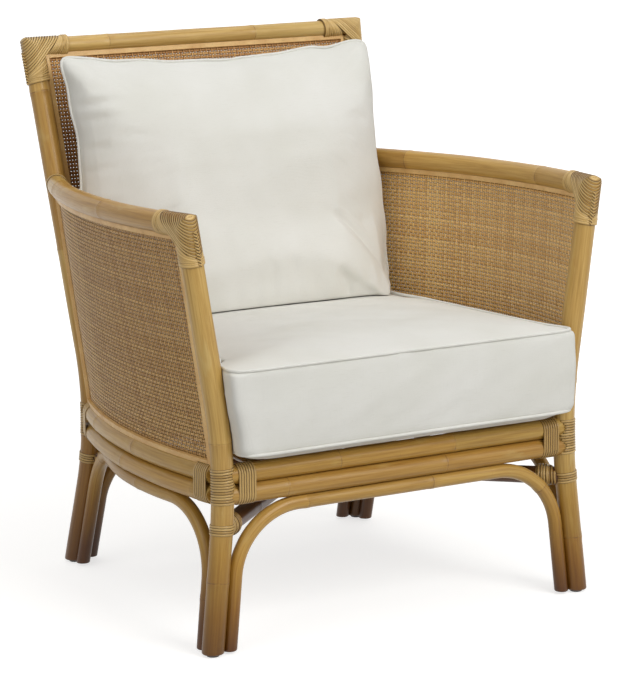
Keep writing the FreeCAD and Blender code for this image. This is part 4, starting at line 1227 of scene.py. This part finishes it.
# %% Cut a cushion into even quads
voxel = 0.006


def plain_copy(node):
    """A CAD node's surface as a new object, cut afresh into even quads."""
    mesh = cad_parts[node].data.copy()
    shape = bmesh.new()
    shape.from_mesh(mesh)
    bmesh.ops.remove_doubles(shape, verts=shape.verts, dist=1e-5)
    shape.to_mesh(mesh)
    shape.free()
    mesh.materials.clear()
    item = bpy.data.objects.new(node + "_work", mesh)
    bpy.context.scene.collection.objects.link(item)
    remesh = item.modifiers.new("even_quads", "REMESH")
    remesh.mode = "VOXEL"
    remesh.voxel_size = voxel
    graph = bpy.context.evaluated_depsgraph_get()
    quads = bpy.data.meshes.new_from_object(item.evaluated_get(graph))
    item.modifiers.clear()
    item.data = quads
    return item


def coordinates(mesh):
    """A mesh's points as an array."""
    flat = np.empty(len(mesh.vertices) * 3)
    mesh.vertices.foreach_get("co", flat)
    return flat.reshape(-1, 3)

# %% Swell a cushion between its seams
cloth_frames = 20


def swollen(item, held, cap):
    """The points after twenty frames of cloth under inner pressure, none moved further
    than the cap. Held is how firmly each point stays, from 0 to 1, in twentieths."""
    start = coordinates(item.data)
    group = item.vertex_groups.new(name="seams")
    for twentieths in range(1, 21):
        chosen = np.flatnonzero(np.round(held * 20) == twentieths).tolist()
        if chosen:
            group.add(chosen, twentieths / 20, "REPLACE")
    cloth = item.modifiers.new("cloth", "CLOTH")
    for label, value in {
        "quality": 5, "mass": 0.3, "tension_stiffness": 18, "compression_stiffness": 18,
        "bending_stiffness": 1.2, "use_pressure": True, "uniform_pressure_force": 4.0,
        "vertex_group_mass": "seams",
    }.items():
        setattr(cloth.settings, label, value)
    cloth.settings.effector_weights.gravity = 0
    scene = bpy.context.scene
    scene.frame_start = cloth.point_cache.frame_start = 1
    scene.frame_end = cloth.point_cache.frame_end = cloth_frames
    for number in range(1, cloth_frames + 1):
        scene.frame_set(number)
    graph = bpy.context.evaluated_depsgraph_get()
    end = coordinates(item.evaluated_get(graph).data)
    item.modifiers.clear()
    item.vertex_groups.clear()
    scene.frame_set(1)
    moved = end - start
    size = np.linalg.norm(moved, axis=1, keepdims=True)
    print(item.name, "swelled by", round(float(size.max()) * 1000, 1), "mm at most")
    return start + moved * np.minimum(1, cap / np.maximum(size, 1e-9))

# %% Keep a cushion out of the poles, and let it ripple
def pushed_out(points, line, radius):
    """Points inside a pole, moved straight out to its skin."""
    near = np.linalg.norm(points[:, None] - line.points[None, ::3], axis=2).argmin(1)
    centre = line.points[::3][near]
    way = line.way(line.along[::3][near])
    aside = points - centre
    aside -= way * (aside * way).sum(1, keepdims=True)
    size = np.linalg.norm(aside, axis=1, keepdims=True)
    return points + aside / np.maximum(size, 1e-6) * np.maximum(radius - size, 0)


def soft_noise(points, scale, seed):
    """Slow waves from five seeded sines, about minus one to one."""
    draw = np.random.default_rng(seed)
    total = np.zeros(len(points))
    for _ in range(5):
        way = draw.normal(size=3) * scale
        total += np.sin(points @ way + draw.uniform(0, math.tau))
    return total / 2.5

# %% A node group for woven cotton
cotton_group, given, result = new_group(
    "woven_cotton", [("Place", "Vector")],
    [("Color", "Color"), ("Roughness", "Float"), ("Height", "Float")],
)
tree = cotton_group
parts = separated(tree, given["Place"])
threads, thread_waves = 0.0, 7800.0
for axis in "XYZ":
    wave = math_node(tree, "SINE", math_node(tree, "MULTIPLY", parts[axis], thread_waves))
    threads = math_node(tree, "ADD", wave, threads)
slub = noise(tree, stretched(tree, given["Place"], (60, 900, 900)), 1.0, 2.0)
slub_up = noise(tree, stretched(tree, given["Place"], (900, 900, 60)), 1.0, 2.0)
cloud = noise(tree, given["Place"], 9.0, 3.0)
base = ramped(tree, cloud, [(0.3, linear(222, 221, 213)), (0.7, linear(229, 228, 222))])
base = mixed(tree, between(tree, slub, 0.55, 0.8, 0.0, 0.22), base, linear(206, 203, 192))
base = mixed(tree, between(tree, slub_up, 0.55, 0.8, 0.0, 0.18), base, linear(208, 205, 195))
height = math_node(tree, "MULTIPLY", threads, 0.12)
for thick in (slub, slub_up):
    height = math_node(tree, "ADD", height, math_node(tree, "MULTIPLY", thick, 0.5))
feed(tree, result, {"Color": base, "Height": height,
                    "Roughness": between(tree, cloud, 0.2, 0.8, 0.84, 0.95)})

cotton_finish, tree, shader = new_finish("cushion_cotton", Specular_IOR_Level=0.2,
                                         Sheen_Weight=0.08)
wear(tree, shader, cotton_group, {"Place": object_place(tree)}, 0.35, 0.0005)
print("cotton ready")

# %% Outline of a seam, and its welt
cord_columns = 12


def smoothed(ring):
    """A ring of points, each drawn halfway to the mean of its two neighbours."""
    return (np.roll(ring, 1, 0) + 2 * ring + np.roll(ring, -1, 0)) / 4


def seam_outline(points, middle, first, second, count):
    """The furthest point in each direction round the middle, in the plane of two unit
    vectors, smoothed along the ring."""
    flat = np.stack([(points - middle) @ first, (points - middle) @ second], -1)
    angle = np.arctan2(flat[:, 1], flat[:, 0])
    slot_number = ((angle + math.pi) / math.tau * count).astype(int) % count
    reach = np.linalg.norm(flat, axis=1)
    best = np.zeros(count)
    np.maximum.at(best, slot_number, reach)
    chosen = [np.flatnonzero((slot_number == k) & (reach >= best[k])) for k in range(count)]
    return smoothed(smoothed(points[[c[0] for c in chosen if len(c)]]))


def welt(name, ring, radius, node, body):
    """A covered cord along a closed ring of points."""
    closed = Line(np.vstack([ring, ring[:1]]))
    count = int(closed.length / 0.006)
    centre = closed.at(np.linspace(0, closed.length, count, endpoint=False))
    way = unit(np.roll(centre, -1, 0) - np.roll(centre, 1, 0))
    side_way = unit(np.cross(way, unit(centre - centre.mean(0))))
    out = np.cross(side_way, way)
    angle = np.linspace(0, math.tau, cord_columns, endpoint=False)
    spots = (centre[:, None] + radius * (np.cos(angle)[None, :, None] * out[:, None]
             + np.sin(angle)[None, :, None] * side_way[:, None]))
    item = new_object(name, spots, tube_faces(count, cord_columns, closed=True).tolist())
    declared(item, cotton_finish, body, [node])


def finished_cushion(item, name, points, body, nodes):
    item.data.vertices.foreach_set("co", points.ravel())
    item.data.update()
    smoother = item.modifiers.new("subdivision", "SUBSURF")
    smoother.levels = smoother.render_levels = 1
    item.name = item.data.name = name
    item.data.polygons.foreach_set("use_smooth", np.ones(len(item.data.polygons), bool))
    declared(item, cotton_finish, body, nodes)
    print(name, len(item.data.polygons), "faces before smoothing")

# %% [markdown]
# ### The seat cushion
#
# Its front stands a little proud of the posts and is wider than the room between them,
# so it bulges round them. The two seams are held firmly, so the top panel crowns, the
# boxing between the seams bellies, and the underside, which lies on the slats, is flat.

# %% Form the seat cushion
def squared(points, first, second, centre, signs, radius, amount, weight=1.0):
    """Make a round corner of an outline squarer. In its quadrant, the distance from the
    corner's centre grows by amount sin^3(2 theta), so the middle of the arc moves most."""
    local = np.stack([(points - centre) @ first, (points - centre) @ second], -1) * signs
    quadrant = np.maximum(local, 0)
    reach = np.linalg.norm(quadrant, axis=1)
    turn = np.arctan2(quadrant[:, 1], quadrant[:, 0])
    grow = amount * np.sin(2 * turn) ** 3 * np.clip(reach / radius, 0, 1) ** 2 * weight
    move = quadrant * signs * grow[:, None]
    return points + move[:, :1] * first + move[:, 1:] * second


def hill(value, middle, half_width):
    """A bell: one at the middle, falling to a third at the half width."""
    return np.exp(-((value - middle) / half_width) ** 2)


seat_floor = 0.2866
low_seam_z, high_seam_z, rear_drop = 0.3063, 0.4343, 0.014
seat_corner_x, seat_corner_r = 0.2505, 0.0324
post_gap, welt_r = 0.0012, 0.0026
seat = plain_copy("seat_cushion_core")
points = coordinates(seat.data)
low_corner, high_corner = points.min(0), points.max(0)
seat_middle_point = (low_corner + high_corner) / 2


def seat_seam_height(points):
    """The upper seam's height, which falls by 14 mm from front to rear."""
    share = (points[:, 1] - low_corner[1]) / (high_corner[1] - low_corner[1])
    return high_seam_z - rear_drop * np.clip(share, 0, 1)


def near_seams(points, reach=0.006):
    """One on either seam line, falling to nought away from it."""
    above = points[:, 2] - seat_seam_height(points)
    below = points[:, 2] - low_seam_z
    return np.maximum(hill(above, 0, reach), hill(below, 0, reach))


held = near_seams(points)
held = np.where(points[:, 2] < seat_floor + 0.006, 1.0, np.where(held < 0.3, 0.0, held))
points = swollen(seat, held, cap=0.010)
print("seat cushion swollen to", round(np.ptp(points[:, 2]) * 1000), "mm thick")

# %% Widen the seat's front and fit it round the posts
wide_from, wide_to = {"right": 0.302, "left": 0.240}, {"right": 0.324, "left": 0.288}
right_bulge, left_bulge, left_upper_bulge = 0.0155, 0.020, 0.015
for s in sides.values():
    centre = np.array([s * seat_corner_x, low_corner[1] + seat_corner_r, 0])
    points = squared(points, along_x, along_y, centre, (s, -1), seat_corner_r, 0.26)
x, y, z = points.T.copy()
right_front, left_front = (step(-y, wide_from[side], wide_to[side]) for side in wide_from)
in_front = np.where(x > 0, right_front, left_front)
side_share = np.clip(np.abs(x) / 0.275, 0, 1) ** 8
wider = np.where(x > 0, right_bulge, left_bulge + left_upper_bulge * step(z, 0.31, 0.43))
points[:, 0] += np.sign(x) * in_front * side_share * wider + 0.005
ripple = soft_noise(points, 26.0, 5) * 0.0012 + soft_noise(points, 70.0, 6) * 0.0006
flat_way = unit((points - seat_middle_point) * [1, 1, 0] + [0, 0, 1e-6])
top_share = step(points[:, 2], 0.425, 0.440)[:, None]
away = unit(flat_way * (1 - top_share) + along_z * top_share)
loose = (1 - near_seams(points, 0.012)) * (points[:, 2] > seat_floor + 0.004)
points += away * (ripple * loose)[:, None]
x, y, z = points.T.copy()
corner_pull = step(side_share, 0.4, 1.0) * step(-y, 0.300, 0.335)
z -= 0.0022 * corner_pull * hill(z, 0.434, 0.010)
z -= 0.005 * step(y, 0.02, 0.11) * step(z, 0.414, 0.424)
points[:, 2] = z
rings = {}
for label, height in (("upper", seat_seam_height), ("lower", lambda p: low_seam_z + 0 * p[:, 2])):
    on_seam = np.abs(points[:, 2] - height(points)) < 0.004
    rings[label] = seam_outline(points[on_seam], seat_middle_point, along_x, along_y, 300)
    rings[label][:, 2] = height(rings[label])
points -= flat_way * (0.0018 * near_seams(points, 0.005))[:, None]
for side in sides:
    for lines in post_of.values():
        points = pushed_out(points, lines[side], post_r + post_gap)
points[:, 2] = np.maximum(points[:, 2], seat_floor)
seat_points = points.copy()
finished_cushion(seat, "seat_cushion", points, "seat_cushion",
                 ["seat_cushion_cover", "seat_cushion_core"])
for label, ring in rings.items():
    for side in [*sides] * 2:
        ring = smoothed(ring)
        for lines in post_of.values():
            ring = pushed_out(ring, lines[side], post_r + 0.0040)
    welt(f"seat_welt_{label}", ring, welt_r, "seat_cushion_welts", "seat_cushion")

# %% [markdown]
# ### The back cushion
#
# It leans on the back panel and stands on the seat. The sewn case has square corners
# with one welt. The loose filling has sunk, so the top edge sags between its corners, the
# front is fullest at the bottom, where it bulges over the seat, and short creases run in
# from the left edge.

# %% Swell the back cushion
back = plain_copy("back_cushion_fill")
points = coordinates(back.data)
lean_share, upright_share = 0.2058, 0.9786
rise_way = unit([0, lean_share, upright_share])
forward_way = unit([0, -upright_share, lean_share])
welt_points = coordinates(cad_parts["back_cushion_welt"].data)
plane_offset = (welt_points @ forward_way).mean()
bottom_up = (welt_points @ rise_way).min()


def in_cushion(points):
    """Places as x, the height above the welt's lowest line, and the distance in front of
    the welt's plane."""
    return points[:, 0], points @ rise_way - bottom_up, points @ forward_way - plane_offset


x, up, out = in_cushion(points)
held = hill(out, 0, 0.006)
points = swollen(back, np.where(held < 0.3, 0.0, held), cap=0.012)
x, up, out = in_cushion(points)
edge = hill(out, 0, 0.030)
middle_up = up.max() / 2
back_corner_x, back_corner_up, back_corner_r = 0.2614, 0.0262, 0.026
middle_point = rise_way * (bottom_up + middle_up) + forward_way * plane_offset
for s, t in ((-1, -1), (1, -1), (-1, 1), (1, 1)):
    centre = np.array([s * back_corner_x, 0, 0]) + rise_way * (
        bottom_up + middle_up + t * (middle_up - back_corner_up)) + forward_way * plane_offset
    points = squared(points, along_x, rise_way, centre, (s, t), back_corner_r, 0.24, edge)
x, up, out = in_cushion(points)
print("back cushion stands", round(up.max() * 1000), "mm high before it sinks")

# %% Let the filling sink
share = np.clip(up / (2 * middle_up), 0, 1)
sag = (0.020 + 0.006 * np.cos(math.pi * x / 0.29) - 0.007 * step(-x, 0.250, 0.285)
       + 0.003 * hill(x, -0.193, 0.030) + 0.005 * hill(x, 0.208, 0.026)
       + 0.0010 * np.sin(x * 61 + 1.0))
points -= rise_way * (sag * share ** 3)[:, None]
full = step(out, 0.015, 0.060)
points += forward_way * (0.026 * full * step(-up, -0.140, -0.010))[:, None]
points -= rise_way * ((0.022 + 0.024 * full) * step(-up, -0.100, -0.010))[:, None]
x, up, out = in_cushion(points)
side_wave = 0.0016 * np.sin(up * 38 + 2.0) + 0.0010 * np.sin(up * 83)
at_edge = hill(np.abs(x), 0.285, 0.030) * edge
points[:, 0] += 0.004 + np.sign(x) * side_wave * at_edge
drawn_in = 0.0075 * hill(up, 0.285, 0.065) - 0.0050 * step(up, 0.365, 0.405)
points[:, 0] += (x < 0) * drawn_in * hill(x, -0.290, 0.050) * hill(out, 0, 0.040)
points[:, 0] -= 0.0075 * step(x, 0.20, 0.275) * step(-up, -0.085, -0.020)
print("its top sags by", round(sag.max() * 1000), "mm at most")

# %% Crease the cover
left_creases = ((0.330, 0.0030, 0.05), (0.306, 0.0026, 0.02), (0.262, 0.0018, -0.05),
                (0.222, 0.0014, 0.10), (0.172, 0.0014, 0.0))
creases = np.zeros(len(points))
for height, depth, slope in left_creases:
    line_up = up - height - slope * (x + 0.28)
    crease = hill(line_up, 0, 0.006) - 0.6 * hill(line_up, 0.011, 0.008)
    creases += depth * crease * hill(x, -0.252, 0.030)
for height, depth in ((0.310, 0.0012), (0.240, 0.0010), (0.120, 0.0014)):
    creases += depth * hill(up, height, 0.010) * hill(x, 0.258, 0.022)
for depth, slant, place, width, low, tall in ((0.0050, 0.5, 0.146, 0.006, 0.000, 0.020),
                                              (0.0030, 1.6, 0.166, 0.007, 0.010, 0.018)):
    creases += depth * hill(x + slant * up, place, width) * hill(up, low, tall)
gathers = 0.0014 * np.sin(x * 150 + 2 * np.sin(x * 31)) * hill(up, 0.000, 0.022)
front_share = step(out, 0.004, 0.020)
points -= forward_way * ((creases + gathers) * front_share)[:, None]
soft = soft_noise(points, 20.0, 15) * 0.0022 + soft_noise(points, 52.0, 16) * 0.0008
points += forward_way * (soft * step(np.abs(out), 0.010, 0.040))[:, None]
x, up, out = in_cushion(points)
print("creases up to", round(creases.max() * 1000, 1), "mm deep")

# %% Fit the back cushion between the frame and the seat
back_ring = seam_outline(points[np.abs(out) < 0.005], middle_point, along_x, rise_way, 360)
back_ring += forward_way * (plane_offset - back_ring @ forward_way)[:, None]
away = points - middle_point
flat_out = unit(away - np.outer(away @ forward_way, forward_way) + 1e-9)
points -= flat_out * (0.0018 * hill(out, 0, 0.005))[:, None]
rear_face = -0.0603
points += forward_way * np.maximum(rear_face - out, 0)[:, None]
for side in sides:
    for line, radius in ((rear_line[side], post_r), (arm_line[side], arm_r)):
        points = pushed_out(points, line, radius + post_gap)
        back_ring = pushed_out(back_ring, line, radius + 0.0036)


seat_top_low, seat_top_high = 0.40, 0.48


def above_seat(points, clearance):
    """Lift whatever would sink into the seat cushion's top."""
    top = seat_points[seat_points[:, 2] > seat_top_low]
    low = np.flatnonzero(points[:, 2] < seat_top_high)
    floor_here = np.full(len(low), -1.0)
    for part in range(0, len(low), 2000):
        chunk = points[low[part:part + 2000]]
        apart = np.linalg.norm(chunk[:, None, :2] - top[None, :, :2], axis=2)
        near = apart.argsort(axis=1)[:, :6]
        height = top[near, 2].mean(1) + clearance
        close = np.take_along_axis(apart, near[:, :1], 1)[:, 0] < 0.012
        floor_here[part:part + 2000] = np.where(close, height, -1.0)
    points[low, 2] = np.maximum(points[low, 2], floor_here)
    return points


points = above_seat(points, 0.0015)
finished_cushion(back, "back_cushion", points, "back_cushion",
                 ["back_cushion_cover", "back_cushion_fill"])
welt("back_welt", above_seat(back_ring, 0.0032), 0.0024, "back_cushion_welt", "back_cushion")

# %% [markdown]
# ## Finishes of the parts that stay as the CAD model has them
#
# The splines that hold the cane, the slats and cleats under the seat, the screws and the
# glides already have their shape, so they only get a finish. These read the Object
# coordinates, because the CAD meshes carry nothing of their own.

# %% Dress the CAD parts
def dress(finish, *names):
    """Put a finish on CAD nodes."""
    for name in names:
        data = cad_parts[name].data
        data.materials.clear()
        data.materials.append(finish)


def mottled(tree, value, dark, light):
    """A colour between two, whichever way a noise value falls."""
    return ramped(tree, value, [(0.3, linear(*dark)), (0.7, linear(*light))])


for name, grain_last, targets in (
    ("slat_rattan", "XZY", ["seat_slats"]),
    ("cleat_rattan", "YZX", ["seat_cleat_front", "seat_cleat_rear"]),
):
    finish, tree, shader = new_finish(name, Coat_Weight=0.05)
    parts = separated(tree, object_place(tree))
    # Painted shade: the slats and cleats under the seat are painted darker by the skin's shade
    # value.
    wear(tree, shader, rattan_group, {
        "Place": combined(tree, *[parts[axis] for axis in grain_last]),
        "From Knot": 1.0, "Tone": 0.35, "Depth": 0.35,
    }, *skin_bump)
    dress(finish, *targets)

finish, tree, shader = new_finish("cane_spline_reed", Coat_Weight=0.05)
fine = noise(tree, object_place(tree), 420.0, 3.0, 0.6)
reed = mottled(tree, noise(tree, object_place(tree), 34.0, 3.0), (208, 162, 96), (230, 192, 126))
flecks = between(tree, fine, 0.5, 0.8, 0.0, 0.4)
feed(tree, shader, {
    "Base Color": mixed(tree, flecks, reed, linear(150, 108, 62)),
    "Roughness": between(tree, fine, 0.2, 0.8, 0.4, 0.55),
    "Normal": relief(tree, fine, 0.25, 0.0004),
})
dress(finish, *[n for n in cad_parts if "splines" in n])

for name, node, scale, dark, light, smoothest, roughest, metallic in (
    ("screw_steel", "frame_screws", 900.0, (150, 148, 144), (186, 184, 180), 0.25, 0.4, 1.0),
    ("glide_nylon", "foot_glides", 700.0, (74, 70, 68), (94, 90, 86), 0.45, 0.6, 0.0),
):
    finish, tree, shader = new_finish(name, Metallic=metallic)
    fine = noise(tree, object_place(tree), scale)
    feed(tree, shader, {"Base Color": mottled(tree, fine, dark, light),
                        "Roughness": between(tree, fine, 0.2, 0.8, smoothest, roughest)})
    dress(finish, node)
print("CAD parts dressed")
